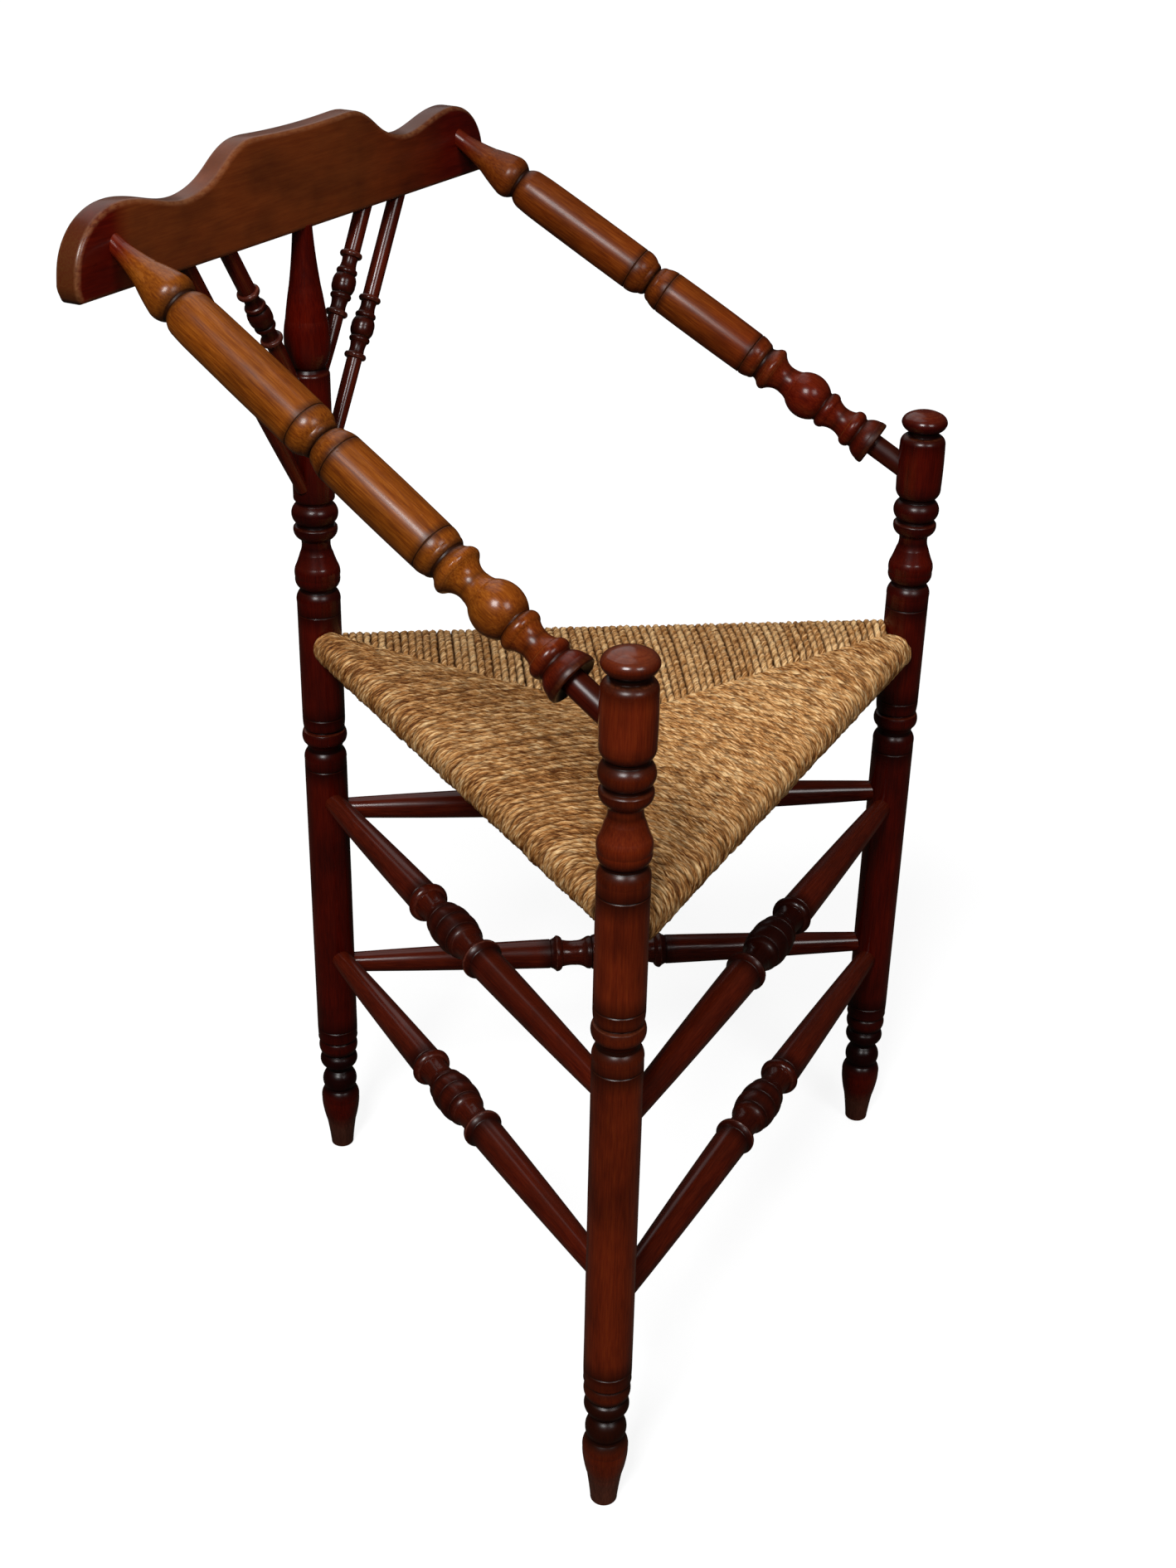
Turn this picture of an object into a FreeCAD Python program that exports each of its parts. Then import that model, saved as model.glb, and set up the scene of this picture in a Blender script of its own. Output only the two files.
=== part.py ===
import FreeCAD, Part
import math
import os

# Corner chair with three turned posts, two sloping arms, a fan back and a rush seat.
# Millimetres. Z is up, the sitter faces -Y, and the origin is on the floor,
# halfway between the front pair of posts and the back post.

vec = FreeCAD.Vector

# Plan and heights of the frame
front_post_spacing = 495.0
post_depth_spacing = 377.0
front_post_height = 643.0
seat_scored_line = 487.5
middle_ring_height = 388.5

# Turned post
post_radius = 16.3
ring_proud = 0.9
groove_depth = 3.0
neck_depth = 5.8
foot_radius = 8.0
foot_height = 59.0
foot_swell = 0.7
foot_ring_radius = 14.1
foot_neck_radius = 8.8
cap_height = 18.0
cap_neck = 3.0
cap_flat_radius = 1.5
scored_width = 1.3
scored_depth = 0.6

# Top of the back post
back_rings_rise = 6.2
socket_radius = 15.2
socket_length = 97.0
vase_radius = 16.3
post_top_radius = 7.0
post_top_tenon_radius = 4.2
post_top_tenon_length = 16.0

# Crest board
crest_length = 482.0
crest_thickness = 18.0
crest_underside = 778.5
crest_centre_height = 69.0
crest_dip_height = 43.5
crest_ear_height = 53.0
crest_raised_length = 151.0
crest_raised_bend = 30.0
crest_ear_inset = 42.0
crest_dip_spacing = 260.0
crest_set_back = 3.0
crest_edge_round = 3.0
crest_back_wall = 8.0

# Arms
arm_end_inset = 38.0
arm_board_rise = 29.0
arm_post_height = 591.0
arm_radius = 16.9
arm_board_radius = 6.2
arm_post_radius = 8.3
arm_post_neck = 46.0
arm_mouth_run = 5.0
arm_pear_neck = 28.0
arm_upper_share = 0.53

# Fan spindles
spindle_radius = 6.0
spindle_foot_radius = 4.8
spindle_ball_radius = 8.5
spindle_board_tenon = 11.0
inner_spindle_spacing = 164.0
outer_spindle_spacing = 254.0
inner_spindle_drop = 9.0
spindle_pair_spacing = 73.0
inner_cluster_place = 69.0
outer_cluster_place = 111.5

# Stretchers
stretcher_end_radius = 8.0
stretcher_mid_radius = 12.1
front_stretcher_extra = 0.6
plain_stretcher_radius = 12.9
cluster_ring_radius = 14.9
cluster_neck_radius = 10.3
cluster_barrel_radius = 15.8
front_stretcher_height = 172.0
right_stretcher_rise = 10.0
left_stretcher_rise = 21.2
stretcher_tier_spacing = 144.0

# Seat rails and rush
rail_radius = 8.0
front_rail_height = 455.5
right_rail_rise = 6.5
left_rail_rise = 15.5
rail_taper = 14.0
rail_post_gap = 2.0
rush_thickness = 5.0
seat_middle_rise = 1.5
seat_middle_thickness = 18.0
seat_middle_forward = 3.0
roll_overlap = 0.4

# Joints
tenon_radius = 5.0
tenon_reach = 9.6
shoulder_sink = 2.7
arm_tenon_reach = 6.0
spindle_tenon_reach = 7.0
fit_gap = 0.15
end_gap = 0.4

# Plain stretch of the post on each side of a turned ring
scored_line_over_foot = 8.0
middle_ring_half_length = 24.5

# Places that follow from the driving sizes
ring_radius = post_radius + ring_proud
groove_radius = post_radius - groove_depth
neck_radius = post_radius - neck_depth
cap_neck_radius = groove_radius - 1.8
front_y = -post_depth_spacing / 2
back_y = post_depth_spacing / 2
left_front = vec(-front_post_spacing / 2, front_y, 0)
right_front = vec(front_post_spacing / 2, front_y, 0)
back = vec(0, back_y, 0)
crest_y = back_y + crest_set_back
crest_front_y = crest_y - crest_thickness / 2
arm_board_spacing = crest_length - 2 * arm_end_inset
arm_board_height = crest_underside + arm_board_rise
arm_board_tenon = crest_thickness - crest_back_wall
wrap_radius = rail_radius + rush_thickness
right_rail_height = front_rail_height + right_rail_rise
left_rail_height = front_rail_height + left_rail_rise
seat_middle_top = front_rail_height + wrap_radius + seat_middle_rise


def line_to(length, radius):
    """A straight step of a turning."""
    return (length, radius, 0.0)


def curve_to(length, radius, bulge):
    """A rounded step: bulge is how far it stands out of its chord."""
    return (length, radius, bulge)


def scored(radius):
    """A thin line cut with the tip of the chisel."""
    half = scored_width / 2
    return [line_to(half, radius - scored_depth), line_to(half, radius)]


def steps_length(steps):
    return sum(step[0] for step in steps)


def mirrored(steps, start_radius):
    """The same steps walked backwards, from their end to their start radius."""
    radii = [start_radius] + [step[1] for step in steps]
    back_steps = []
    for index in range(len(steps) - 1, -1, -1):
        length, _, bulge = steps[index]
        back_steps.append((length, radii[index], bulge))
    return back_steps


def turned(steps, start_radius, start=0.0):
    """Solid of revolution about Z from a list of steps."""
    height = start
    radius = start_radius
    edges = [Part.LineSegment(vec(0, 0, height), vec(radius, 0, height)).toShape()]
    for length, end_radius, bulge in steps:
        here = vec(radius, 0, height)
        there = vec(end_radius, 0, height + length)
        if bulge:
            chord = there - here
            out = vec(chord.z, 0, -chord.x)
            out.normalize()
            middle = (here + there) * 0.5 + out * bulge
            edges.append(Part.Arc(here, middle, there).toShape())
        else:
            edges.append(Part.LineSegment(here, there).toShape())
        height += length
        radius = end_radius
    if radius > 0:
        edges.append(Part.LineSegment(vec(radius, 0, height), vec(0, 0, height)).toShape())
    edges.append(Part.LineSegment(vec(0, 0, height), vec(0, 0, start)).toShape())
    face = Part.Face(Part.Wire(edges))
    return face.revolve(vec(0, 0, 0), vec(0, 0, 1), 360)


def laid(shape, start, direction):
    """Turns a shape built along Z so that it runs from start along direction."""
    placed = shape.copy()
    placed.Placement = FreeCAD.Placement(start, FreeCAD.Rotation(vec(0, 0, 1), direction))
    return placed


def bore(start, direction, length, radius):
    return Part.makeCylinder(radius, length, start, direction)


def at_height(point, height):
    return vec(point.x, point.y, height)


def unit(start, end):
    direction = end - start
    direction.normalize()
    return direction


# Turned posts

def foot_steps():
    """Tapered foot, the two rings over it and the groove under the shaft."""
    ankle_radius = groove_radius - 0.6
    foot_ring_bulge = foot_ring_radius - (ankle_radius + foot_neck_radius + 0.6) / 2
    return [
        curve_to(1.8, foot_radius + 1.3, 0.5),
        curve_to(foot_height * 0.4, foot_radius + 4.2, -0.2),
        curve_to(foot_height * 0.26, post_radius - foot_swell - 0.4, 0.3),
        curve_to(foot_height * 0.13, post_radius - foot_swell, 0.2),
        curve_to(foot_height * 0.17, ankle_radius, 1.2),
        line_to(1.6, ankle_radius - 0.6),
        curve_to(15.6, foot_neck_radius + 1.2, foot_ring_bulge),
        line_to(1.0, foot_neck_radius + 0.3),
        line_to(5.2, foot_neck_radius),
        curve_to(2.6, groove_radius, 0.9),
        curve_to(5.2, groove_radius + 0.4, 0.3),
        line_to(0.7, groove_radius - 0.3),
        curve_to(12.4, post_radius - 0.2, 0.9),
        curve_to(5.2, post_radius - 1.5, 0.4),
        line_to(1.2, post_radius - 2.0),
        curve_to(3.2, post_radius - 0.2, 0.7),
    ]


def middle_ring_steps():
    """Ring between the shaft and the seat zone, from scored line to scored line."""
    return (
        scored(post_radius)
        + [
            line_to(6.0, post_radius - 0.1),
            curve_to(8.6, groove_radius + 0.3, 1.1),
            line_to(2.6, groove_radius),
            curve_to(5.0, ring_radius - 0.9, -0.3),
            curve_to(8.8, ring_radius - 1.0, 1.0),
            line_to(1.0, groove_radius + 0.6),
            line_to(1.2, groove_radius + 0.6),
            line_to(0.8, post_radius - 0.6),
            curve_to(9.0, post_radius, 0.2),
        ]
        + scored(post_radius)
    )


def waist_steps():
    """Dome, ball, neck and two rings over the seat."""
    return scored(post_radius) + [
        line_to(8.0, post_radius),
        curve_to(9.5, groove_radius, 1.3),
        line_to(1.6, groove_radius - 0.3),
        curve_to(9.0, post_radius + 0.3, 1.5),
        curve_to(9.5, post_radius - 0.9, 0.9),
        curve_to(9.0, groove_radius - 1.0, -0.1),
        curve_to(9.5, neck_radius + 0.3, -0.7),
        curve_to(2.0, neck_radius + 1.5, -0.2),
        line_to(0.6, groove_radius - 0.4),
        curve_to(8.2, post_radius - 0.1, 1.3),
        curve_to(1.6, groove_radius + 0.3, 0.5),
        line_to(1.6, groove_radius),
        curve_to(15.2, groove_radius, ring_radius - groove_radius),
        line_to(1.8, groove_radius - 0.3),
    ]


def lower_post_steps(seat_line):
    """From the floor to the scored line over the seat."""
    foot = foot_steps()
    ring = middle_ring_steps()
    ring_start = middle_ring_height - middle_ring_half_length
    lower = foot + [line_to(scored_line_over_foot, post_radius)] + scored(post_radius)
    lower += [line_to(ring_start - steps_length(lower), post_radius)] + ring
    lower += [line_to(seat_line - ring_start - steps_length(ring), post_radius)]
    return lower


def cap_steps(base_radius):
    """Short neck and flattened knob over the arm barrel."""
    knob = cap_height - cap_neck
    return [
        line_to(cap_neck, base_radius),
        curve_to(knob * 0.42, ring_radius - 0.1, 1.2),
        curve_to(knob * 0.35, ring_radius * 0.81, 0.75),
        curve_to(knob * 0.23, cap_flat_radius, 0.87),
    ]


def barrel_steps(length):
    """Barrel that the arm is tenoned into."""
    base = 8.0
    shoulder = 6.5
    return [
        curve_to(base, ring_radius - 0.3, 1.2),
        curve_to(length - base - shoulder, ring_radius - 0.3, 0.3),
        curve_to(shoulder, cap_neck_radius, 1.6),
    ]


def front_post_turning():
    steps = lower_post_steps(seat_scored_line) + waist_steps()
    barrel = barrel_steps(front_post_height - cap_height - steps_length(steps))
    return turned(steps + barrel + cap_steps(cap_neck_radius), foot_radius)


def below_socket_steps():
    return lower_post_steps(seat_scored_line + back_rings_rise) + waist_steps()


def back_post_turning():
    steps = below_socket_steps() + [
        curve_to(3.5, socket_radius, 0.8),
        line_to(socket_length - 7.0, socket_radius),
        curve_to(3.5, socket_radius - 1.8, 0.6),
        line_to(2.2, socket_radius - 3.2),
    ]
    vase_length = crest_underside - steps_length(steps)
    steps += [
        curve_to(vase_length * 0.16, vase_radius, 1.1),
        curve_to(vase_length * 0.2, vase_radius - 1.6, 0.7),
        curve_to(vase_length * 0.24, vase_radius - 5.2, 0.2),
        curve_to(vase_length * 0.4, post_top_radius, -0.4),
        line_to(0.0, post_top_tenon_radius),
        line_to(post_top_tenon_length, post_top_tenon_radius),
    ]
    return turned(steps, foot_radius)


# Sticks between two posts

def stick_axis(start_post, end_post, height):
    """Start point on the first post's axis, direction and axis spacing."""
    start = at_height(start_post, height)
    end = at_height(end_post, height)
    return start, unit(start, end), (end - start).Length


def shoulder_place():
    return post_radius - shoulder_sink


def cluster_steps(shaft_radius):
    """Half of a stretcher's turned cluster, from the shaft to the middle."""
    line = 0.5
    return [
        line_to(line, shaft_radius - 0.6),
        line_to(line, shaft_radius - 0.2),
        curve_to(4.4, cluster_ring_radius, -0.4),
        curve_to(5.0, cluster_neck_radius + 0.9, 1.2),
        curve_to(11.0, cluster_neck_radius, -0.5),
        curve_to(7.6, cluster_barrel_radius - 3.6, -0.6),
        curve_to(5.0, cluster_barrel_radius - 2.2, 0.6),
        line_to(line, cluster_barrel_radius - 2.9),
        line_to(line, cluster_barrel_radius - 1.9),
        curve_to(13.0, cluster_barrel_radius - 0.7, 0.9),
        line_to(line, cluster_barrel_radius - 1.4),
    ]


def stretcher(start_post, end_post, height, mid_radius, plain=False):
    start, direction, spacing = stick_axis(start_post, end_post, height)
    tenon = shoulder_place() - tenon_reach
    tenon_end = line_to(tenon, tenon_radius)
    shoulder = line_to(0.0, stretcher_end_radius)
    body = spacing / 2 - shoulder_place()
    if plain:
        half = [tenon_end, shoulder, curve_to(body, plain_stretcher_radius, 0.9)]
    else:
        cluster = cluster_steps(mid_radius)
        taper = body - steps_length(cluster)
        half = [tenon_end, shoulder, curve_to(taper, mid_radius, 0.4)] + cluster
    whole = half + mirrored(half, tenon_radius)
    shape = turned(whole, tenon_radius)
    return laid(shape, start + direction * tenon_reach, direction)


def seat_rail(start_post, end_post, height):
    start, direction, spacing = stick_axis(start_post, end_post, height)
    bare_end = post_radius + rail_post_gap
    half = [
        line_to(bare_end - tenon_reach, tenon_radius),
        line_to(rail_taper, rail_radius),
        line_to(spacing / 2 - bare_end - rail_taper, rail_radius),
    ]
    shape = turned(half + mirrored(half, tenon_radius), tenon_radius)
    return laid(shape, start + direction * tenon_reach, direction)


def stick_mortises(post, other, height, shouldered):
    """Blind hole for the tenon and, for a stretcher, the seat of its shoulder."""
    start, direction, _ = stick_axis(post, other, height)
    reach = tenon_reach - end_gap
    holes = [bore(start + direction * reach, direction, 2 * post_radius, tenon_radius + fit_gap)]
    if shouldered:
        seat = start + direction * shoulder_place()
        holes.append(bore(seat, direction, 2 * post_radius, stretcher_end_radius + fit_gap))
    return holes


# Arms

def arm_line(side):
    """Ends of an arm's axis: on the board's front face and on the front post's axis."""
    board_end = vec(side * arm_board_spacing / 2, crest_front_y, arm_board_height)
    post_end = vec(side * front_post_spacing / 2, front_y, arm_post_height)
    return board_end, post_end


def arm_steps(length):
    """From the board's face to the end of the tenon in the front post."""
    groove = arm_radius - 4.8
    pear = [
        line_to(arm_mouth_run, arm_board_radius),
        curve_to(arm_pear_neck - arm_mouth_run, arm_board_radius + 4.0, -0.4),
        curve_to(19.0, arm_radius - 1.1, 0.3),
        curve_to(10.0, groove, 1.4),
        line_to(1.2, groove - 0.4),
    ]
    upper_start = [
        curve_to(9.0, arm_radius - 1.3, 1.0),
        curve_to(12.0, arm_radius - 0.7, 0.1),
    ]
    upper_end = scored(arm_radius - 0.3) + [
        curve_to(11.0, arm_radius - 3.4, 1.2),
        curve_to(4.5, arm_radius - 6.5, 0.8),
    ]
    lower_start = [
        curve_to(5.0, arm_radius - 2.6, 1.0),
        curve_to(8.0, arm_radius - 0.4, 0.4),
    ] + scored(arm_radius - 0.4)
    lower_end = scored(arm_radius - 0.4) + [
        curve_to(7.0, arm_radius - 1.7, 0.4),
        curve_to(4.0, arm_radius - 4.0, 0.6),
        line_to(1.2, arm_radius - 4.0),
    ]
    collar = [
        curve_to(4.0, arm_radius - 1.4, -0.3),
        curve_to(3.4, arm_radius, 0.3),
        curve_to(3.0, arm_radius - 2.0, 0.4),
        curve_to(12.0, arm_radius - 6.3, -1.8),
        curve_to(5.5, arm_radius - 4.8, -0.3),
        curve_to(26.0, arm_radius - 4.8, 5.1),
        line_to(1.0, arm_radius - 5.1),
        curve_to(8.0, arm_radius - 4.8, 2.2),
        curve_to(15.0, arm_radius - 5.4, -2.0),
        curve_to(9.0, arm_radius - 4.8, 2.6),
        line_to(1.2, arm_radius - 5.0),
        curve_to(8.5, arm_radius - 0.5, 0.8),
        curve_to(5.0, arm_radius, 0.4),
        curve_to(0.8, arm_radius - 1.4, 0.1),
        curve_to(-3.4, arm_post_radius + 0.6, -0.4),
        line_to(0.0, arm_post_radius),
    ]
    post_neck = arm_post_neck - arm_tenon_reach
    fixed = [pear, upper_start, upper_end, lower_start, lower_end, collar]
    spare = length - sum(steps_length(steps) for steps in fixed) - post_neck - arm_tenon_reach
    upper_body = [curve_to(spare * arm_upper_share, arm_radius - 0.3, 0.2)]
    lower_body = [curve_to(spare * (1 - arm_upper_share), arm_radius - 0.4, 0.3)]
    steps = pear + upper_start + upper_body + upper_end
    steps += lower_start + lower_body + lower_end + collar
    return steps + [line_to(post_neck, arm_post_radius)]


def arm(side):
    board_end, post_end = arm_line(side)
    direction = unit(board_end, post_end)
    length = (post_end - board_end).Length
    steps = [line_to(arm_board_tenon, arm_board_radius)] + arm_steps(length)
    shape = turned(steps, arm_board_radius)
    return laid(shape, board_end - direction * arm_board_tenon, direction)


def arm_post_mortise(side):
    board_end, post_end = arm_line(side)
    direction = unit(post_end, board_end)
    start = post_end + direction * (arm_tenon_reach - end_gap)
    return bore(start, direction, 2 * ring_radius, arm_post_radius + fit_gap)


def arm_board_mortise(side):
    board_end, post_end = arm_line(side)
    direction = unit(board_end, post_end)
    start = board_end - direction * (arm_board_tenon + end_gap)
    return bore(start, direction, arm_board_tenon + crest_thickness, arm_board_radius + fit_gap)


# Fan spindles

def spindle_kinds():
    """Spacing at the board and height on the post's face, inner pair first."""
    inner_height = steps_length(below_socket_steps()) + socket_length - inner_spindle_drop
    return [
        (inner_spindle_spacing, inner_height),
        (outer_spindle_spacing, inner_height - spindle_pair_spacing),
    ]


def spindle_line(side, top_spacing, post_height):
    """Axis of a spindle from the back post's axis to the underside of the board."""
    top = vec(side * top_spacing / 2, crest_y, crest_underside)
    run = top.x - side * socket_radius
    slope = (crest_underside - post_height) / abs(run)
    foot = vec(0, back_y, post_height - slope * socket_radius)
    return foot, top


def spindle_reaches(foot, top):
    """Distances along the axis to the tenon's end in the post and to the post's face."""
    direction = unit(foot, top)
    sideways = abs(direction.x)
    return spindle_tenon_reach / sideways, socket_radius / sideways


def spindle_cluster(shaft_radius):
    """Half of the little ringed ball, from the shaft to the middle."""
    ring = spindle_ball_radius - 1.0
    return [
        line_to(0.6, ring),
        curve_to(3.4, ring, 0.7),
        line_to(0.6, shaft_radius - 0.2),
        curve_to(8.0, shaft_radius + 0.2, -0.5),
        line_to(0.6, ring - 0.4),
        curve_to(3.2, ring - 0.4, 0.6),
        line_to(0.5, ring - 0.8),
        curve_to(7.0, spindle_ball_radius, 0.7),
    ]


def spindle(side, top_spacing, post_height, cluster_place):
    foot, top = spindle_line(side, top_spacing, post_height)
    direction = unit(foot, top)
    tenon_end, post_face = spindle_reaches(foot, top)
    length = (top - foot).Length
    half = spindle_cluster(spindle_radius)
    mouth_run = spindle_foot_radius * direction.z / abs(direction.x)
    lower = cluster_place - mouth_run - steps_length(half)
    upper = length - post_face - cluster_place - steps_length(half)
    steps = [line_to(post_face - tenon_end + mouth_run, spindle_foot_radius)]
    steps += [curve_to(lower, spindle_radius - 0.3, 0.2)]
    steps += half + mirrored(half, spindle_radius)
    steps += [line_to(upper + spindle_board_tenon, spindle_radius)]
    return laid(turned(steps, spindle_foot_radius), foot + direction * tenon_end, direction)


def spindle_post_mortise(side, top_spacing, post_height):
    foot, top = spindle_line(side, top_spacing, post_height)
    direction = unit(foot, top)
    tenon_end, post_face = spindle_reaches(foot, top)
    start = foot + direction * (tenon_end - end_gap)
    return bore(start, direction, post_face + socket_radius, spindle_foot_radius + fit_gap)


def spindle_board_mortise(side, top_spacing, post_height):
    foot, top = spindle_line(side, top_spacing, post_height)
    direction = unit(top, foot)
    start = top - direction * (spindle_board_tenon + end_gap)
    return bore(start, direction, spindle_board_tenon + crest_thickness, spindle_radius + fit_gap)


# Crest board

def crest_outline():
    """Closed wire of the board's face: straight bottom, one flowing top curve."""
    half = crest_length / 2
    flat = crest_raised_length / 2
    dip = crest_dip_spacing / 2
    top = crest_centre_height
    low = crest_dip_height
    ear = crest_ear_height
    ear_place = half - crest_ear_inset
    right = [
        (flat - crest_raised_bend, top),
        (flat - 9.0, top - 0.6),
        (flat + 7.0, top - 7.0),
        (flat + 22.0, low + 9.0),
        (dip - 12.0, low + 1.4),
        (dip + 4.0, low),
        ((dip + ear_place) / 2, (low + ear) / 2 + 1.0),
        (ear_place, ear),
        (half - 18.0, ear * 0.84),
        (half - 3.0, ear * 0.48),
        (half, ear * 0.18),
    ]
    corner = 4.0
    points = [vec(-x, 0, z) for x, z in reversed(right)] + [vec(x, 0, z) for x, z in right]
    curve = Part.BSplineCurve()
    curve.interpolate(points)
    first = points[0]
    last = points[-1]
    edges = [
        curve.toShape(),
        Part.LineSegment(last, vec(half - corner, 0, 0)).toShape(),
        Part.LineSegment(vec(half - corner, 0, 0), vec(corner - half, 0, 0)).toShape(),
        Part.LineSegment(vec(corner - half, 0, 0), first).toShape(),
    ]
    return Part.Wire(edges)


def crest_board():
    face = Part.Face(crest_outline())
    board = face.extrude(vec(0, crest_thickness, 0))
    rounded = [edge for edge in board.Edges if abs(edge.BoundBox.YLength) < 0.01]
    board = board.makeFillet(crest_edge_round, rounded)
    board.translate(vec(0, crest_front_y, crest_underside))
    holes = [arm_board_mortise(side) for side in (-1, 1)]
    for spacing, height in spindle_kinds():
        holes += [spindle_board_mortise(side, spacing, height) for side in (-1, 1)]
    post_hole = vec(0, back_y, crest_underside - 1.0)
    depth = post_top_tenon_length + end_gap + 1.0
    holes.append(bore(post_hole, vec(0, 0, 1), depth, post_top_tenon_radius + fit_gap))
    for hole in holes:
        board = board.cut(hole)
    return board


# Rush seat

def seat_sides():
    """Post pair and height of each rail, in the order left, right, front."""
    return [
        (back, left_front, left_rail_height),
        (back, right_front, right_rail_height),
        (left_front, right_front, front_rail_height),
    ]


def rush_section(start_post, end_post, height, middle):
    """One of the three fields of cord, from its rail to the middle of the seat."""
    over = height + wrap_radius - roll_overlap
    under = height - wrap_radius + roll_overlap
    top = [at_height(start_post, over), at_height(end_post, over), at_height(middle, seat_middle_top)]
    low_middle = seat_middle_top - seat_middle_thickness
    low = [at_height(start_post, under), at_height(end_post, under), at_height(middle, low_middle)]
    faces = [Part.Face(Part.makePolygon(top + top[:1])), Part.Face(Part.makePolygon(low + low[:1]))]
    for index in range(3):
        after = (index + 1) % 3
        side = [low[index], low[after], top[after], top[index], low[index]]
        faces.append(Part.Face(Part.makePolygon(side)))
    return Part.Solid(Part.Shell(faces))


def rush_seat():
    centre_y = (left_front.y + right_front.y + back.y) / 3 - seat_middle_forward
    middle = vec(0, centre_y, 0)
    seat = None
    for start_post, end_post, height in seat_sides():
        start, direction, spacing = stick_axis(start_post, end_post, height)
        section = rush_section(start_post, end_post, height, middle)
        roll = bore(start, direction, spacing, wrap_radius)
        section = section.fuse(roll)
        seat = section if seat is None else seat.fuse(section)
    tall = left_rail_height + 4 * wrap_radius
    for post in (left_front, right_front, back):
        seat = seat.cut(bore(post, vec(0, 0, 1), tall, post_radius + fit_gap))
    for start_post, end_post, height in seat_sides():
        seat = seat.cut(seat_rail_space(start_post, end_post, height))
    return max(seat.Solids, key=lambda solid: solid.Volume)


def seat_rail_space(start_post, end_post, height):
    """Room for one rail inside the cord."""
    start, direction, spacing = stick_axis(start_post, end_post, height)
    return bore(start, direction, spacing, rail_radius + fit_gap)


# Assembly

def stretcher_places():
    """Name, post pair, height, middle radius and whether it is plain."""
    front_radius = stretcher_mid_radius + front_stretcher_extra
    sides = [
        ("left", back, left_front, left_stretcher_rise, stretcher_mid_radius),
        ("right", back, right_front, right_stretcher_rise, stretcher_mid_radius),
        ("front", left_front, right_front, 0.0, front_radius),
    ]
    places = []
    for side, start_post, end_post, rise, radius in sides:
        lower = front_stretcher_height + rise
        upper = lower + stretcher_tier_spacing
        places.append(("stretcher_" + side + "_upper", start_post, end_post, upper, radius, side == "right"))
        places.append(("stretcher_" + side + "_lower", start_post, end_post, lower, radius, False))
    return places


def mortised(shape, post):
    """The post with a hole for every stretcher and rail that meets it."""
    holes = []
    for _, start_post, end_post, height, _, _ in stretcher_places():
        if post in (start_post, end_post):
            other = end_post if post == start_post else start_post
            holes += stick_mortises(post, other, height, True)
    for start_post, end_post, height in seat_sides():
        if post in (start_post, end_post):
            other = end_post if post == start_post else start_post
            holes += stick_mortises(post, other, height, False)
    placed = shape.copy()
    placed.translate(post)
    for hole in holes:
        placed = placed.cut(hole)
    return placed


def chair_parts():
    parts = {}
    front_turning = front_post_turning()
    sides = [("left", -1, left_front), ("right", 1, right_front)]
    for name, side, post in sides:
        parts["front_post_" + name] = mortised(front_turning, post).cut(arm_post_mortise(side))
    back_post = mortised(back_post_turning(), back)
    for spacing, height in spindle_kinds():
        for side in (-1, 1):
            back_post = back_post.cut(spindle_post_mortise(side, spacing, height))
    parts["back_post"] = back_post
    parts["crest_board"] = crest_board()
    inner, outer = spindle_kinds()
    for name, side, _ in sides:
        parts["arm_" + name] = arm(side)
        parts["spindle_inner_" + name] = spindle(side, *inner, inner_cluster_place)
        parts["spindle_outer_" + name] = spindle(side, *outer, outer_cluster_place)
    for name, start_post, end_post, height, radius, plain in stretcher_places():
        parts[name] = stretcher(start_post, end_post, height, radius, plain)
    for name, (start_post, end_post, height) in zip(("left", "right", "front"), seat_sides()):
        parts["seat_rail_" + name] = seat_rail(start_post, end_post, height)
    parts["rush_seat"] = rush_seat()
    return parts


os.makedirs("parts", exist_ok=True)
for node, solid in chair_parts().items():
    solid.exportStep("parts/" + node + ".step")
    print(node, "valid", solid.isValid(), "solids", len(solid.Solids), "volume", round(solid.Volume))
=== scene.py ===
import math
import random

import bpy
from mathutils import Matrix, Vector, noise


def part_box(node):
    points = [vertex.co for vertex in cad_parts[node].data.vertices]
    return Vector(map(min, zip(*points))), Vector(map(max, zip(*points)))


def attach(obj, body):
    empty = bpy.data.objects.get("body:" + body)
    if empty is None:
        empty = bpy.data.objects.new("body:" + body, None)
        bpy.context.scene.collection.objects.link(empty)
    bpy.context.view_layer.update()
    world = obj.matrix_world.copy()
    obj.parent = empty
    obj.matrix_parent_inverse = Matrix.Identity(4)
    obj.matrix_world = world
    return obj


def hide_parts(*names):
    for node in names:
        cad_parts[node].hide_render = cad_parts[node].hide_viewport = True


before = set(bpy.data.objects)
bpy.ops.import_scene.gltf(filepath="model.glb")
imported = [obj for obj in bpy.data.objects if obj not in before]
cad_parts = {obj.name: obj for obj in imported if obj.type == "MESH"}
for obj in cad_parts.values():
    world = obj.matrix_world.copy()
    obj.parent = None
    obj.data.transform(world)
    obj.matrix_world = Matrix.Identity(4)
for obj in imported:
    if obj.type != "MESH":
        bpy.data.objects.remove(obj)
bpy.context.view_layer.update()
print("frame loaded:", len(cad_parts), "nodes")

mm = 0.001  # sizes below are written in millimetres
upright = Vector((0, 0, 1))


def colour(hexText):
    # sRGB hex to linear, with alpha
    values = [int(hexText[i:i + 2], 16) / 255 for i in (1, 3, 5)]
    return tuple(v / 12.92 if v <= 0.04045 else ((v + 0.055) / 1.055) ** 2.4 for v in values) + (1.0,)


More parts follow.
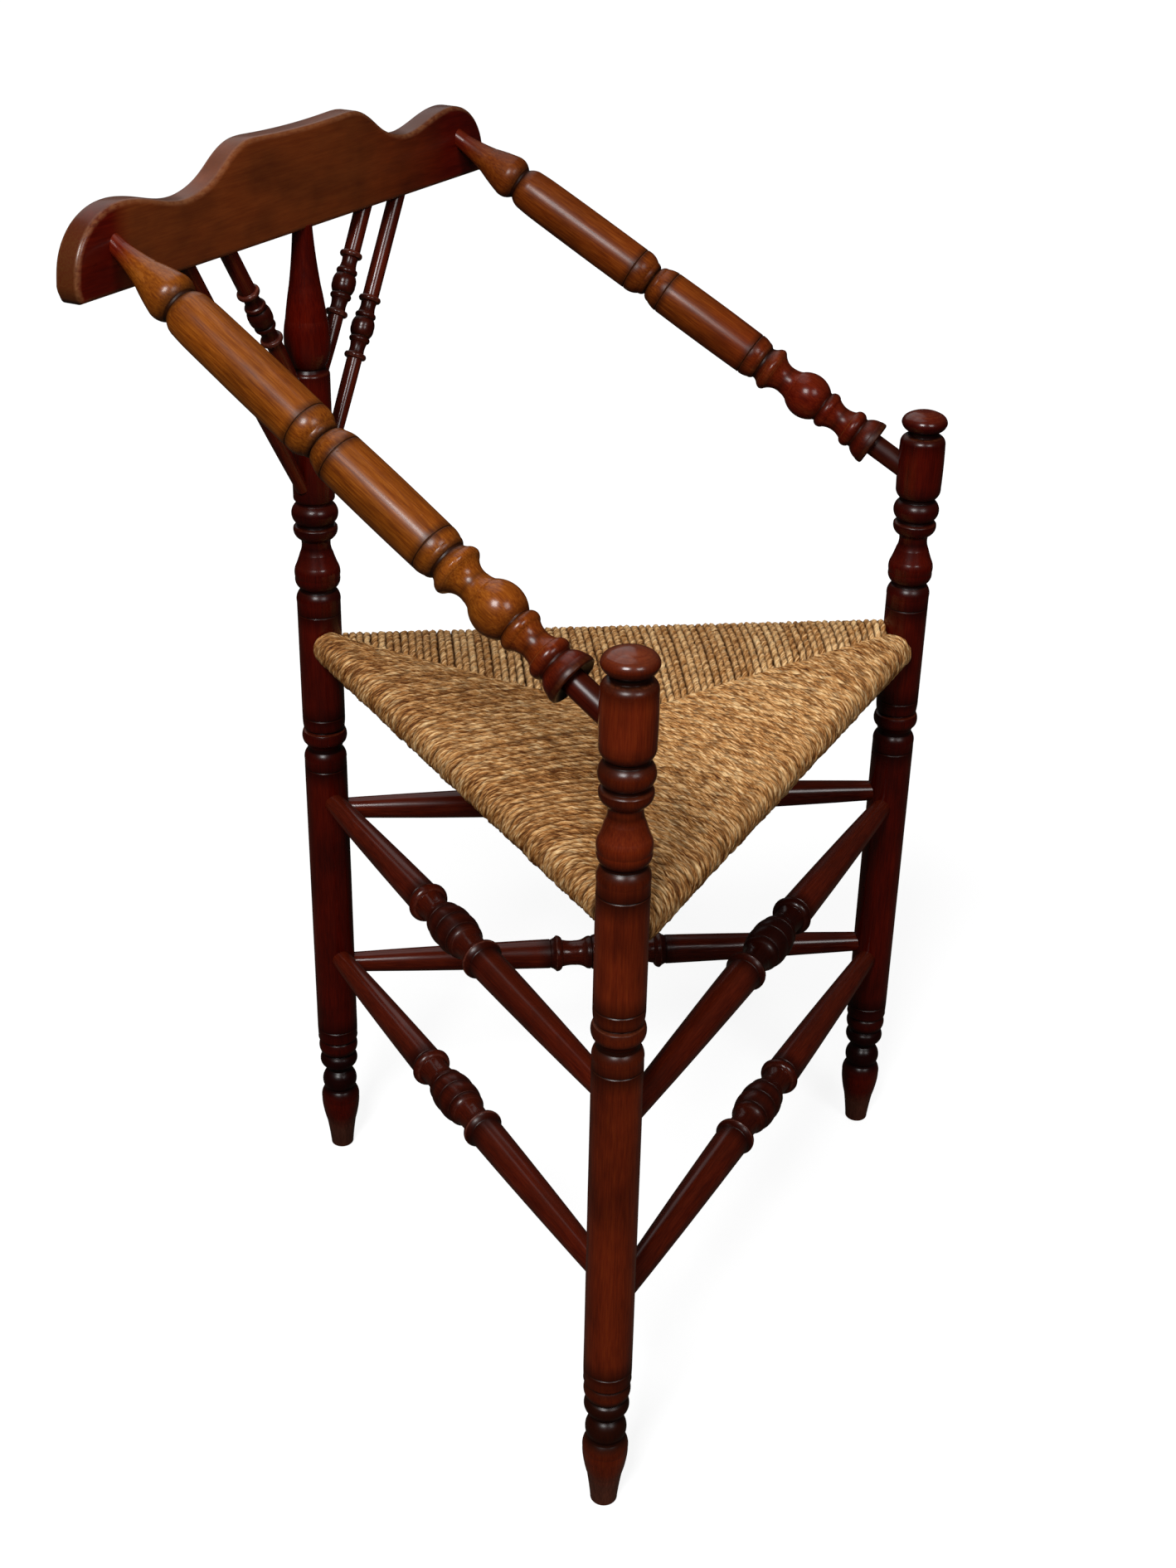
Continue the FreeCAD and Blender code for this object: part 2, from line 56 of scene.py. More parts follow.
def addNode(tree, kind, settings=None, links=None, give=0):
    # a number or a name is a socket, stops are a ramp's colours, anything else is a property of the node
    node = tree.nodes.new("ShaderNode" + kind)
    for key, value in (settings or {}).items():
        if key == "stops":
            elements = node.color_ramp.elements
            while len(elements) < len(value):
                elements.new(0.5)
            for element, (stop, hexText) in zip(elements, value):
                element.position = stop
                element.color = colour(hexText)
        elif isinstance(key, int) or key in node.inputs:
            node.inputs[key].default_value = colour(value) if isinstance(value, str) else value
        else:
            setattr(node, key, value)
    for key, source in (links or {}).items():
        tree.links.new(source, node.inputs[key])
    return node.outputs[give] if node.outputs else None


def newMaterial(name):
    material = bpy.data.materials.new(name)
    material.use_nodes = True
    tree = material.node_tree
    tree.nodes.clear()
    return material, tree


# Turned and planed wood. The place on each piece, in millimetres with the grain along Z,
# comes from the mesh, so that the grain runs along every stick whichever way it lies.

woodMarks = ("groove", "dull", "wear", "rubbed")  # how dark with polish and painted shade, how unpolished, how worn at an edge with painted highlight lines, and how handled each point is

# stain and bare wood each have a dark, a middle and a pale tone
# top is the colour of upward faces: dust with painted sheen
postPolish = {
    "name": "stained_beech_post",
    "groove": "#0c0200", "stain": ("#4e1505", "#5b1b07", "#652309"),
    "bare": ("#3c1d14", "#48261c", "#532e22"),
    "wornAndGlinting": "#7c3e22", "wear": 0.25, "top": "#583020", "topDustAndSheen": 0.5,
    "roughness": 0.19, "specular": 0.22, "coat": 0.25, "dents": 0.2, "relief": 0.1,
}
# the two posts farther from the lamps get a darker, redder copy of the polish: painted shade
shadedPostPolish = {
    **postPolish, "name": "shaded_stained_beech_post",
    "groove": "#060000", "stain": ("#370401", "#440701", "#4d0c02"), "top": "#5c2012",
}
stickPolish = {
    "name": "stained_beech_stick",
    "groove": "#0a0100", "stain": ("#360904", "#481105", "#561909"),
    "wornAndGlinting": "#8a5040", "wear": 0.5, "top": "#5c2212", "topDustAndSheen": 0.3,
    "roughness": 0.21, "specular": 0.2, "coat": 0.2, "dents": 0.2, "relief": 0.1,
}
armPolish = {
    "name": "worn_beech_arm",
    "groove": "#140300", "stain": ("#440a03", "#541205", "#621c08"),
    "bare": ("#602c08", "#7c400c", "#925316"),
    "wornAndGlinting": "#a05f30", "wear": 0.4, "top": "#7c3c16", "topDustAndSheen": 0.1,
    "roughness": 0.21, "specular": 0.22, "coat": 0.08, "dents": 0.8, "relief": 0.25,
}
# the right arm has been handled less and is duller
rightArmPolish = {**armPolish, "name": "dull_beech_arm", "specular": 0.17, "coat": 0.03, "roughness": 0.27}
boardPolish = {
    "name": "stained_beech_board",
    "groove": "#2a0f06", "stain": ("#420501", "#500a02", "#5c1104"),
    "bare": ("#672d10", "#6f3413", "#783b17"), "ends": "#4c270e",
    "wornAndGlinting": "#835434", "wear": 0.5, "top": "#4c2a16", "topDustAndSheen": 0.6,
    "roughness": 0.32, "specular": 0.25, "coat": 0.12, "dents": 0.3, "relief": 0.12,
}


def woodMaterial(look):
    # Beech, turned or planed, stained red-brown and French polished: short fine flecks along the grain,
    # dark polish with painted shade in the grooves, paler wood where hands, backs and shoes have rubbed it.
    dentSpacing = 17.0  # mm between small knocks
    # each pattern: mm across the grain, mm along it, detail, roughness
    patterns = {
        "flecks": (0.9, 16.0, 3.0, 0.6),  # twice as wide as real ones so that they show
        "bands": (4.0, 250.0, 2.0, 0.5),  # growth rings
        "blotches": (34.0, 34.0 / 0.6, 3.0, 0.55),  # where the stain took unevenly
        "scuffs": (3.0, 5.0, 4.0, 0.7),
    }
    if "ends" in look:
        patterns["pores"] = (1.1, 1.1, 3.0, 0.7)  # open pores of the end grain
    toneStops = (0.36, 0.5, 0.64)
    material, tree = newMaterial(look["name"])
    place = addNode(tree, "Attribute", {"attribute_name": "woodPlace"}, give="Vector")
    groove, dull, wear, rubbed = [
        addNode(tree, "Attribute", {"attribute_name": mark}, give="Fac") for mark in woodMarks
    ]
    normal = addNode(tree, "NewGeometry", give="Normal")
    upward = addNode(tree, "SeparateXYZ", links={0: normal}, give="Z")
    noises = {}
    for name, (across, along, detail, coarse) in patterns.items():
        scaled = addNode(tree, "Mapping", {"Scale": (1 / across, 1 / across, 1 / along)}, {0: place})
        settings = {"Scale": 1.0, "Detail": detail, "Roughness": coarse}
        noises[name] = addNode(tree, "TexNoise", settings, {0: scaled})
    flecks = noises["flecks"]
    blotches = noises["blotches"]

    # grain: flecks over growth rings
    grain = addNode(tree, "Mix", {0: 0.3}, {2: flecks, 3: noises["bands"]})
    body = addNode(tree, "ValToRGB", {"stops": list(zip(toneStops, look["stain"]))}, {0: grain})

    # rubbed stretches, uneven as the stain is
    uneven = addNode(tree, "MapRange", {1: 0.3, 2: 0.6, 3: 0.8, 4: 1.0}, {0: blotches})
    rub = addNode(tree, "Math", {"operation": "MULTIPLY"}, {0: rubbed, 1: uneven})
    if "bare" in look:
        bareWood = addNode(tree, "ValToRGB", {"stops": list(zip(toneStops, look["bare"]))}, {0: grain})
        body = addNode(tree, "Mix", {"data_type": "RGBA"}, {0: rub, 6: body, 7: bareWood}, 2)
    darkening = {"data_type": "RGBA", "blend_type": "MULTIPLY", 7: "#8c766a"}
    darkened = addNode(tree, "MapRange", {1: 0.4, 2: 0.75, 3: 0.0, 4: 0.8}, {0: blotches})
    body = addNode(tree, "Mix", darkening, {0: darkened, 6: body}, 2)

    # upward faces paler and greyer: dust and fading, with painted sheen of the light from above
    dustAndSheen = addNode(tree, "MapRange", {1: 0.15, 2: 0.9, 3: 0.0, 4: look["topDustAndSheen"]}, {0: upward})
    patchy = addNode(tree, "MapRange", {1: 0.35, 2: 0.6, 3: 0.6, 4: 1.0}, {0: blotches})
    dustAndSheen = addNode(tree, "Math", {"operation": "MULTIPLY"}, {0: dustAndSheen, 1: patchy})
    body = addNode(tree, "Mix", {"data_type": "RGBA", 7: look["top"]}, {0: dustAndSheen, 6: body}, 2)
    if "ends" in look:
        # dry end grain, speckled with pores
        sideways = addNode(tree, "SeparateXYZ", links={0: normal}, give="X")
        sideways = addNode(tree, "Math", {"operation": "ABSOLUTE"}, {0: sideways})
        endGrain = addNode(tree, "MapRange", {1: 0.45, 2: 0.8}, {0: sideways})
        speckle = addNode(tree, "MapRange", {1: 0.4, 2: 0.6, 3: 0.0, 4: 0.5}, {0: noises["pores"]})
        ends = {"data_type": "RGBA", 6: look["ends"], 7: look["stain"][0]}
        endWood = addNode(tree, "Mix", ends, {0: speckle}, 2)
        body = addNode(tree, "Mix", {"data_type": "RGBA"}, {0: endGrain, 6: body, 7: endWood}, 2)

    # dark polish and painted shade in the grooves; worn edges with painted highlight lines
    groovePolishAndShade = addNode(tree, "Math", {"operation": "MULTIPLY", 1: 0.94}, {0: groove})
    body = addNode(tree, "Mix", {"data_type": "RGBA", 7: look["groove"]}, {0: groovePolishAndShade, 6: body}, 2)
    # pale worn edges, partly painted highlight lines along the crests and arrises
    wornAndGlinting = {1: 0.4, 2: 0.58, 3: look["wear"] * 0.2, 4: look["wear"]}
    wornAndGlinting = addNode(tree, "MapRange", wornAndGlinting, {0: noises["scuffs"]})
    wornAndGlinting = addNode(tree, "Math", {"operation": "MULTIPLY"}, {0: wornAndGlinting, 1: wear})
    body = addNode(tree, "Mix", {"data_type": "RGBA", 7: look["wornAndGlinting"]}, {0: wornAndGlinting, 6: body}, 2)

    # relief: flecks, slow waves and small dents
    dentPlace = addNode(tree, "Mapping", {"Scale": (1 / dentSpacing,) * 3}, {0: place})
    knocks = addNode(tree, "TexVoronoi", {"Scale": 1.0}, {"Vector": dentPlace})
    height = addNode(tree, "MapRange", {1: 0.02, 2: 0.09, 3: -look["dents"], 4: 0.0}, {0: knocks})
    for pattern, share in ((flecks, 0.12), (blotches, 0.8)):
        height = addNode(tree, "Math", {"operation": "MULTIPLY_ADD", 1: share}, {0: pattern, 2: height})
    bump = addNode(tree, "Bump", {"Strength": 0.5, "Distance": look["relief"] * mm}, {"Height": height})

    # gloss: bright on the turned surfaces, dull in the grooves and where rubbed
    shine = {1: 0.3, 2: 0.7, 3: look["roughness"] - 0.04, 4: look["roughness"] + 0.08}
    roughness = addNode(tree, "MapRange", shine, {0: blotches})
    for mark, share in ((dull, 0.14), (rub, 0.05)):
        roughness = addNode(tree, "Math", {"operation": "MULTIPLY_ADD", 1: share}, {0: mark, 2: roughness})
    coat = addNode(tree, "MapRange", {1: 0.1, 2: 0.7, 3: look["coat"], 4: 0.0}, {0: dull})
    gloss = {"IOR": 1.5, "Specular IOR Level": look["specular"], "Coat Roughness": 0.12}
    wood = {"Base Color": body, "Roughness": roughness, "Normal": bump, "Coat Weight": coat}
    shader = addNode(tree, "BsdfPrincipled", gloss, wood)
    addNode(tree, "OutputMaterial", links={"Surface": shader})
    return material


postWood = woodMaterial(postPolish)
shadedPostWood = woodMaterial(shadedPostPolish)
stickWood = woodMaterial(stickPolish)
armWood = woodMaterial(armPolish)
rightArmWood = woodMaterial(rightArmPolish)
boardWood = woodMaterial(boardPolish)
print("wood materials made")


# Turning on the lathe. A stick is a list of steps, each with its length, the radius where it ends,
# and how far it bulges from the straight line between; a negative bulge is a hollow.

def line(length, radius):
    return (length, radius, 0.0)


def arc(length, radius, bulge):
    return (length, radius, bulge)


def scoredLine(radius):
    return [line(0.65, radius - 0.6), line(0.65, radius)]


def lengthOf(steps):
    return sum(step[0] for step in steps)


def backwards(steps, startRadius):
    radii = [startRadius] + [step[1] for step in steps]
    return [(steps[i][0], radii[i], steps[i][2]) for i in range(len(steps) - 1, -1, -1)]


def profilePoints(steps, startRadius):
    # points along the turned outline, close together at each end of a step so that corners stay crisp
    spacing = 1.1
    cornerInset = 0.22
    points = [(0.0, startRadius)]
    along = 0.0
    radius = startRadius
    for length, endRadius, bulge in steps:
        rise = endRadius - radius
        chord = math.hypot(length, rise)
        inset = min(cornerInset / chord, 0.2)
        count = max(1, math.ceil(chord / (spacing if bulge else 4 * spacing)))
        shares = [inset] + [inset + (1 - 2 * inset) * i / count for i in range(1, count)] + [1 - inset, 1.0]
        for share in shares:
            side = 0.0
            place = share * chord
            if bulge:
                bow = (chord * chord / 4 + bulge * bulge) / (2 * bulge)
                half = 2 * math.atan(2 * bulge / chord)
                turn = half * (2 * share - 1)
                place = chord / 2 + bow * math.sin(turn)
                side = bow * math.cos(turn) - (bow - bulge)
            onward = (place * length - side * rise) / chord
            points.append((along + onward, radius + (place * rise + side * length) / chord))
        along += length
        radius = endRadius
    return points


def between(value, low, high):
    return min(1.0, max(0.0, (value - low) / (high - low)))


def outlineMarks(points, darkeningReach):
    # how deep each point lies in a groove, and how sharp an edge it stands on; the dark polish and
    # painted shade of a groove thin out over two reaches, one for the thick and one for the thin coat
    scoredReach, scoredDepth = 1.6, (0.1, 0.4)  # depth from where it shows to where it is full
    coveReach, coveDepth = 8.0, (0.4, 2.9)
    edgeReach, edgeHeight = 0.9, (0.04, 0.26)
    thickShare, thinShare = 0.85, 0.8

    def depth(along, radius, reach):
        before = max(r for a, r in points if -reach < a - along <= 0)
        after = max(r for a, r in points if 0 <= a - along < reach)
        return min(before, after) - radius

    scored = [between(depth(along, radius, scoredReach), *scoredDepth) for along, radius in points]
    coves = [between(depth(along, radius, coveReach), *coveDepth) for along, radius in points]
    deepest = [max(pair) for pair in zip(scored, coves)]
    grooves = []
    edges = []
    for (along, radius), here in zip(points, deepest):
        near = [(abs(a - along), mark) for (a, r), mark in zip(points, deepest)]
        thick = max(mark * (1 - gap / darkeningReach[0]) for gap, mark in near)
        thin = max(mark * (1 - gap / darkeningReach[1]) for gap, mark in near)
        grooves.append(max(here, thickShare * thick, thinShare * thin))
        near = [(a - along, r, mark) for (a, r), mark in zip(points, scored) if abs(a - along) < edgeReach]
        before = [r for gap, r, mark in near if gap < -0.05]
        after = [r for gap, r, mark in near if gap > 0.05]
        drop = 0.0
        if before and after:
            drop = radius - (sum(before) / len(before) + sum(after) / len(after)) / 2
        edges.append(between(drop, *edgeHeight) * (1 - 0.6 * max(mark for gap, r, mark in near)))
    return grooves, edges


def ringFaces(first, second, sides):
    # between two rings of points, given by their first points
    return [(first + i, first + (i + 1) % sides, second + (i + 1) % sides, second + i) for i in range(sides)]


def addObject(name, data):
    thing = bpy.data.objects.new(name, data)
    bpy.context.scene.collection.objects.link(thing)
    return thing


def newPiece(name, vertices, faces, material, nodes, placeName, places, marks):
    # places holds three numbers for each point, and each of the marks one
    mesh = bpy.data.meshes.new(name)
    mesh.from_pydata(vertices, [], faces)
    mesh.polygons.foreach_set("use_smooth", [True] * len(mesh.polygons))
    mesh.materials.append(material)
    mesh.attributes.new(placeName, "FLOAT_VECTOR", "POINT").data.foreach_set("vector", places)
    for mark, values in marks.items():
        mesh.attributes.new(mark, "FLOAT", "POINT").data.foreach_set("value", values)
    piece = addObject(name, mesh)
    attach(piece, "root")
    if nodes:
        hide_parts(*nodes)


def nowhere(along):
    return 0.0


def turnedPiece(name, steps, startRadius, start, direction, material, sides,
                rubbedAt=nowhere, darkAt=nowhere, dullAt=nowhere, darkeningReach=(3.2, 13.0)):
    seed = sum(ord(letter) * i for i, letter in enumerate(name, 1))
    draw = random.Random(seed)
    heart = (draw.uniform(10, 25), draw.uniform(-20, 20), draw.uniform(0, 900))  # of the tree, off centre
    wobble = 0.05  # mm, the small unevenness of hand turning
    wobbleEvery = 28  # mm
    points = profilePoints(steps, startRadius)
    grooves, edges = outlineMarks(points, darkeningReach)
    turn = upright.rotation_difference(direction).to_matrix()
    vertices = []
    places = []
    marks = {mark: [] for mark in woodMarks}
    for (along, radius), groove, edge in zip(points, grooves, edges):
        dark = darkAt(along)
        # the groove and dark marks give dark polish with painted shade in the grooves and round the rings
        ringMarks = (max(groove, dark), max(groove, dullAt(along)), edge * (1 - dark), rubbedAt(along))
        for mark, value in zip(woodMarks, ringMarks):
            marks[mark] += [value] * sides
        for i in range(sides):
            angle = 2 * math.pi * i / sides
            spot = (math.cos(angle) * 1.2, math.sin(angle) * 1.2, along / wobbleEvery + seed)
            uneven = noise.noise(spot) * wobble
            flat = Vector(((radius + uneven) * math.cos(angle), (radius + uneven) * math.sin(angle), along))
            vertices.append((start + turn @ flat) * mm)
            places += [flat.x + heart[0], flat.y + heart[1], flat.z + heart[2]]
    faces = []
    for ring in range(len(points) - 1):
        faces += ringFaces(ring * sides, (ring + 1) * sides, sides)
    for ring in (0, len(points) - 1):
        middle = len(vertices)
        along = points[ring][0]
        vertices.append((start + turn @ (upright * along)) * mm)
        places += [heart[0], heart[1], along + heart[2]]
        for mark, value in zip(woodMarks, (grooves[ring], grooves[ring], 0.0, 0.0)):
            marks[mark].append(value)
        for i in range(sides):
            a = ring * sides + i
            b = ring * sides + (i + 1) % sides
            faces.append((a, b, middle) if ring else (b, a, middle))
    newPiece(name + "_turned", vertices, faces, material, [name], "woodPlace", places, marks)


def axisOf(node):
    low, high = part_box(node)
    return Vector(((low.x + high.x) / 2, (low.y + high.y) / 2, 0)) / mm


def heightOf(node):
    low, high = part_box(node)
    return (low.z + high.z) / 2 / mm


def fadeInOut(along, start, full, fading, end, share=1.0):
    # none up to the start, full in the middle, none again from the end
    return share * between(along, start, full) * (1 - between(along, fading, end))


# Posts

post = {
    "radius": 16.3, "ringProud": 0.9, "grooveDepth": 3.0, "neckDepth": 5.8,
    "footRadius": 8.0, "footHeight": 59.0, "footRing": 14.1, "footNeck": 8.8,
    "seatLine": 487.5, "ringStart": 364.0, "height": 643.0, "capHeight": 18.0, "capNeck": 3.0,
    "backRise": 6.2, "socketRadius": 15.2, "socketLength": 97.0, "vaseRadius": 16.3, "topRadius": 7.0,
    "buried": 3.0,  # how far its top goes into the board
    "scuffed": (-1.0, 0.0, 20.0, 34.0),  # shoes have rubbed the foot
    # dark polish, dirt and painted shade round the two foot rings, and over the seat line round the rings
    # under the barrel
    "footDark": (49.0, 58.0, 97.0, 106.0, 0.94), "ringsDark": (58.0, 62.0, 87.0, 91.0, 0.5),
}
postRadius = post["radius"]
ringRadius = postRadius + post["ringProud"]
grooveRadius = postRadius - post["grooveDepth"]
neckRadius = postRadius - post["neckDepth"]
leftPost = axisOf("front_post_left")
rightPost = axisOf("front_post_right")
backPost = axisOf("back_post")
triangle = {"left": (backPost, leftPost), "right": (backPost, rightPost), "front": (leftPost, rightPost)}
boardLow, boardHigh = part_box("crest_board")
boardUnderside = boardLow.z / mm


def footSteps():
    tip = post["footRadius"]
    foot = post["footHeight"]
    neck = post["footNeck"]
    ankle = grooveRadius - 0.6
    ringBulge = post["footRing"] - (ankle + neck + 0.6) / 2
    return [
        # pointed foot
        arc(1.8, tip + 1.3, 0.5), arc(foot * 0.4, tip + 4.2, -0.2), arc(foot * 0.26, postRadius - 1.1, 0.3),
        arc(foot * 0.13, postRadius - 0.7, 0.2), arc(foot * 0.17, ankle, 1.2), line(1.6, ankle - 0.6),
        # ring and neck
        arc(16.2, neck + 1.2, ringBulge), line(1.0, neck + 0.3), line(4.4, neck),
        line(0.8, grooveRadius - 0.6),
        # two beads
        arc(10.6, grooveRadius + 0.4, 2.2), line(1.1, grooveRadius - 1.0),
        arc(13.0, postRadius - 1.6, 2.3), line(1.4, postRadius - 2.6), arc(3.8, postRadius - 0.2, 1.1),
    ]


def lowerPostSteps(seatLine):
    # from the floor to the barrel or the socket
    scored = scoredLine(postRadius)
    ring = scored + [
        # hollow and ring between the two rows of stretchers
        line(6.0, postRadius - 0.1), arc(8.6, grooveRadius + 0.3, 1.1), line(2.6, grooveRadius),
        arc(5.0, ringRadius - 0.9, -0.3), arc(8.8, ringRadius - 1.0, 1.0),
        line(1.0, grooveRadius + 0.6), line(1.2, grooveRadius + 0.6), line(0.8, postRadius - 0.6),
        arc(9.0, postRadius, 0.2),
    ] + scored
    steps = footSteps() + [line(8.0, postRadius)] + scored
    steps += [line(post["ringStart"] - lengthOf(steps), postRadius)] + ring
    return steps + [line(seatLine - lengthOf(steps), postRadius)] + scored + [
        # bead over the seat
        line(8.0, postRadius), arc(9.5, grooveRadius, 1.3), line(1.6, grooveRadius - 0.3),
        # bottle with its neck
        arc(9.0, postRadius + 0.3, 1.5), arc(9.5, postRadius - 0.9, 0.9), arc(9.0, grooveRadius - 1.0, -0.1),
        arc(9.5, neckRadius + 0.3, -0.7), arc(2.0, neckRadius + 1.5, -0.2), line(0.6, grooveRadius - 0.4),
        # two rings
        arc(8.2, postRadius - 0.1, 1.3), arc(1.6, grooveRadius + 0.3, 0.5), line(1.6, grooveRadius),
        arc(15.2, grooveRadius, ringRadius - grooveRadius), line(1.8, grooveRadius - 0.3),
    ]


def frontPostSteps():
    steps = lowerPostSteps(post["seatLine"])
    barrel = post["height"] - post["capHeight"] - lengthOf(steps)
    capNeck = grooveRadius - 1.8
    knob = post["capHeight"] - post["capNeck"]
    return steps + [
        # barrel that takes the arm
        arc(8.0, ringRadius - 0.3, 1.2), arc(barrel - 14.5, ringRadius - 0.3, 0.3), arc(6.5, capNeck, 1.6),
        # cap
        line(post["capNeck"], capNeck), arc(knob * 0.42, ringRadius - 0.1, 1.2),
        arc(knob * 0.35, ringRadius * 0.81, 0.75), arc(knob * 0.23, 1.5, 0.87),
    ]


def backPostSteps():
    socket = post["socketRadius"]
    vase = post["vaseRadius"]
    steps = lowerPostSteps(post["seatLine"] + post["backRise"]) + [
        # socket that takes the spindles
        arc(3.5, socket, 0.8), line(post["socketLength"] - 7.0, socket),
        arc(3.5, socket - 1.8, 0.6), line(2.2, socket - 3.2),
    ]
    vaseLength = boardUnderside - lengthOf(steps)
    return steps + [
        # slender vase up to the board
        arc(vaseLength * 0.16, vase, 1.1), arc(vaseLength * 0.2, vase - 1.6, 0.7),
        arc(vaseLength * 0.24, vase - 5.2, 0.2), arc(vaseLength * 0.4, post["topRadius"], -0.4),
        line(post["buried"], post["topRadius"]),
    ]


def footScuffed(along):
    return fadeInOut(along, *post["scuffed"])


def postDark(along):
    return max(fadeInOut(along, *post["footDark"]), fadeInOut(along - post["seatLine"], *post["ringsDark"]))


# the other two posts take the darker copy of the polish, which is painted shade
for node, foot, steps, wood in (
    ("front_post_left", leftPost, frontPostSteps(), postWood),
    ("front_post_right", rightPost, frontPostSteps(), shadedPostWood),
    ("back_post", backPost, backPostSteps(), shadedPostWood),
):
    turnedPiece(node, steps, post["footRadius"], foot, upright, wood, 64, footScuffed, postDark)
print("posts turned")


# Stretchers

stretcher = {
    "endRadius": 8.0, "midRadius": 12.1, "frontExtra": 0.6, "plainRadius": 12.9,
    "ringRadius": 14.9, "neckRadius": 10.3, "barrelRadius": 15.8, "shoulderSink": 2.7,
    # how dark the polish and painted shade lie round the rings in the middle; the right upper one has no
    # rings
    "ringDark": {
        "left_upper": 0.3, "left_lower": 0.3, "right_lower": 0.3, "front_upper": 0.85, "front_lower": 0.45,
    },
}


def clusterSteps(shaft):
    # one half of the rings in the middle
    ring = stretcher["ringRadius"]
    neck = stretcher["neckRadius"]
    barrel = stretcher["barrelRadius"]
    return [
        line(0.5, shaft - 0.6), line(0.5, shaft - 0.2), arc(4.4, ring, -0.4), arc(5.0, neck + 0.9, 1.2),
        arc(11.0, neck, -0.5), arc(7.6, barrel - 3.6, -0.6), arc(5.0, barrel - 2.2, 0.6),
        line(0.5, barrel - 2.9), line(0.5, barrel - 1.9), arc(13.0, barrel - 0.7, 0.9),
        line(0.5, barrel - 1.4),
    ]


for side, (startPost, endPost) in triangle.items():
    run = endPost - startPost
    direction = run.normalized()
    inset = postRadius - stretcher["shoulderSink"]
    body = run.length / 2 - inset
    midRadius = stretcher["midRadius"] + (stretcher["frontExtra"] if side == "front" else 0.0)
    cluster = clusterSteps(midRadius)
    for tier in ("upper", "lower"):
        node = f"stretcher_{side}_{tier}"
        ringDark = stretcher["ringDark"].get(f"{side}_{tier}", 0.0)
        half = [arc(body, stretcher["plainRadius"], 0.9)]
        if ringDark:
            half = [arc(body - lengthOf(cluster), midRadius, 0.4)] + cluster
        steps = half + backwards(half, stretcher["endRadius"])
        start = startPost + upright * heightOf(node) + direction * inset

        def ringsDark(along):
            reach = lengthOf(cluster)
            return ringDark * (1 - between(abs(along - body), reach - 6, reach + 2))

        turnedPiece(node, steps, stretcher["endRadius"], start, direction, stickWood, 40,
                    darkAt=ringsDark)
print("stretchers turned")


# Arms

arm = {
    "boardSpacing": 406.0, "boardRise": 29.0, "postHeight": 591.0, "radius": 16.9,
    "boardRadius": 6.2, "postRadius": 8.3, "postNeck": 46.0, "upperShare": 0.53, "boardSink": 4.0,
    # hands have rubbed it paler from here up, measured from the post: start, full, how much
    "rub": {"arm_left": (46.0, 98.0, 1.0), "arm_right": (110.0, 200.0, 0.5)},
    "rubTop": (10.0, 30.0),  # and up to here, measured from the board: none, full
    "darkFrom": (44.0, 37.0, 0.6),  # dark polish and painted shade at the post end: none, full, how much
    "darkeningReach": (2.0, 5.0),
}


def armSteps(length):
    radius = arm["radius"]
    groove = radius - 4.8
    boardNeck = arm["boardRadius"]
    postNeck = arm["postRadius"]
    hidden = 10.0  # of the neck, inside the front post
    top = [
        # pear at the board
        line(5.0 + arm["boardSink"], boardNeck), arc(23.0, boardNeck + 4.0, -0.4),
        arc(19.0, radius - 1.1, 0.3), arc(10.0, groove, 1.4), line(1.2, groove - 0.4),
        # shoulder of the upper grip
        arc(9.0, radius - 1.3, 1.0), arc(12.0, radius - 0.7, 0.1),
    ]
    waist = scoredLine(radius - 0.3) + [
        arc(11.0, radius - 3.4, 1.2), arc(4.5, radius - 6.5, 0.8), arc(5.0, radius - 2.6, 1.0),
        arc(8.0, radius - 0.4, 0.4),
    ] + scoredLine(radius - 0.4)
    end = scoredLine(radius - 0.4) + [
        # end of the lower grip, with a flat ring
        arc(7.0, radius - 1.7, 0.4), arc(4.0, radius - 4.0, 0.6), line(1.2, radius - 4.0),
        arc(4.0, radius - 1.4, -0.3), arc(3.4, radius, 0.3), arc(3.0, radius - 2.0, 0.4),
        # hollow and ball
        arc(12.0, radius - 6.3, -1.8), arc(5.5, radius - 4.8, -0.3), arc(26.0, radius - 4.8, 5.1),
        line(1.0, radius - 5.1), arc(8.0, radius - 4.8, 2.2),
        # hollow, bead and cup
        arc(15.0, radius - 5.4, -2.0), arc(9.0, radius - 4.8, 2.6), line(1.2, radius - 5.0),
        arc(8.5, radius - 0.5, 0.8), arc(5.0, radius, 0.4), arc(0.8, radius - 1.4, 0.1),
        # back into the cup, then the thin neck
        arc(-3.4, postNeck + 0.6, -0.4), line(0.01, postNeck), line(arm["postNeck"] - hidden, postNeck),
    ]
    spare = length + arm["boardSink"] - hidden - lengthOf(top + waist + end)
    upper = [arc(spare * arm["upperShare"], radius - 0.3, 0.2)]
    lower = [arc(spare * (1 - arm["upperShare"]), radius - 0.4, 0.3)]
    return top + upper + waist + lower + end


for name, side, foot, wood in (
    ("arm_left", -1, leftPost, armWood), ("arm_right", 1, rightPost, rightArmWood),
):
    boardEnd = Vector((side * arm["boardSpacing"] / 2, boardLow.y / mm, boardUnderside + arm["boardRise"]))
    postEnd = foot + upright * arm["postHeight"]
    direction = (postEnd - boardEnd).normalized()
    steps = armSteps((postEnd - boardEnd).length)
    start = boardEnd - direction * arm["boardSink"]
    whole = lengthOf(steps)

    def handRubbed(along):
        none, full, share = arm["rub"][name]
        return share * between(whole - along, none, full) * between(along, *arm["rubTop"])

    def postEndDark(along):
        none, full, share = arm["darkFrom"]
        return share * (1 - between(whole - along, full, none))

    turnedPiece(name, steps, arm["boardRadius"], start, direction, wood, 64,
                handRubbed, postEndDark, postEndDark, arm["darkeningReach"])
print("arms turned")


# Fan spindles

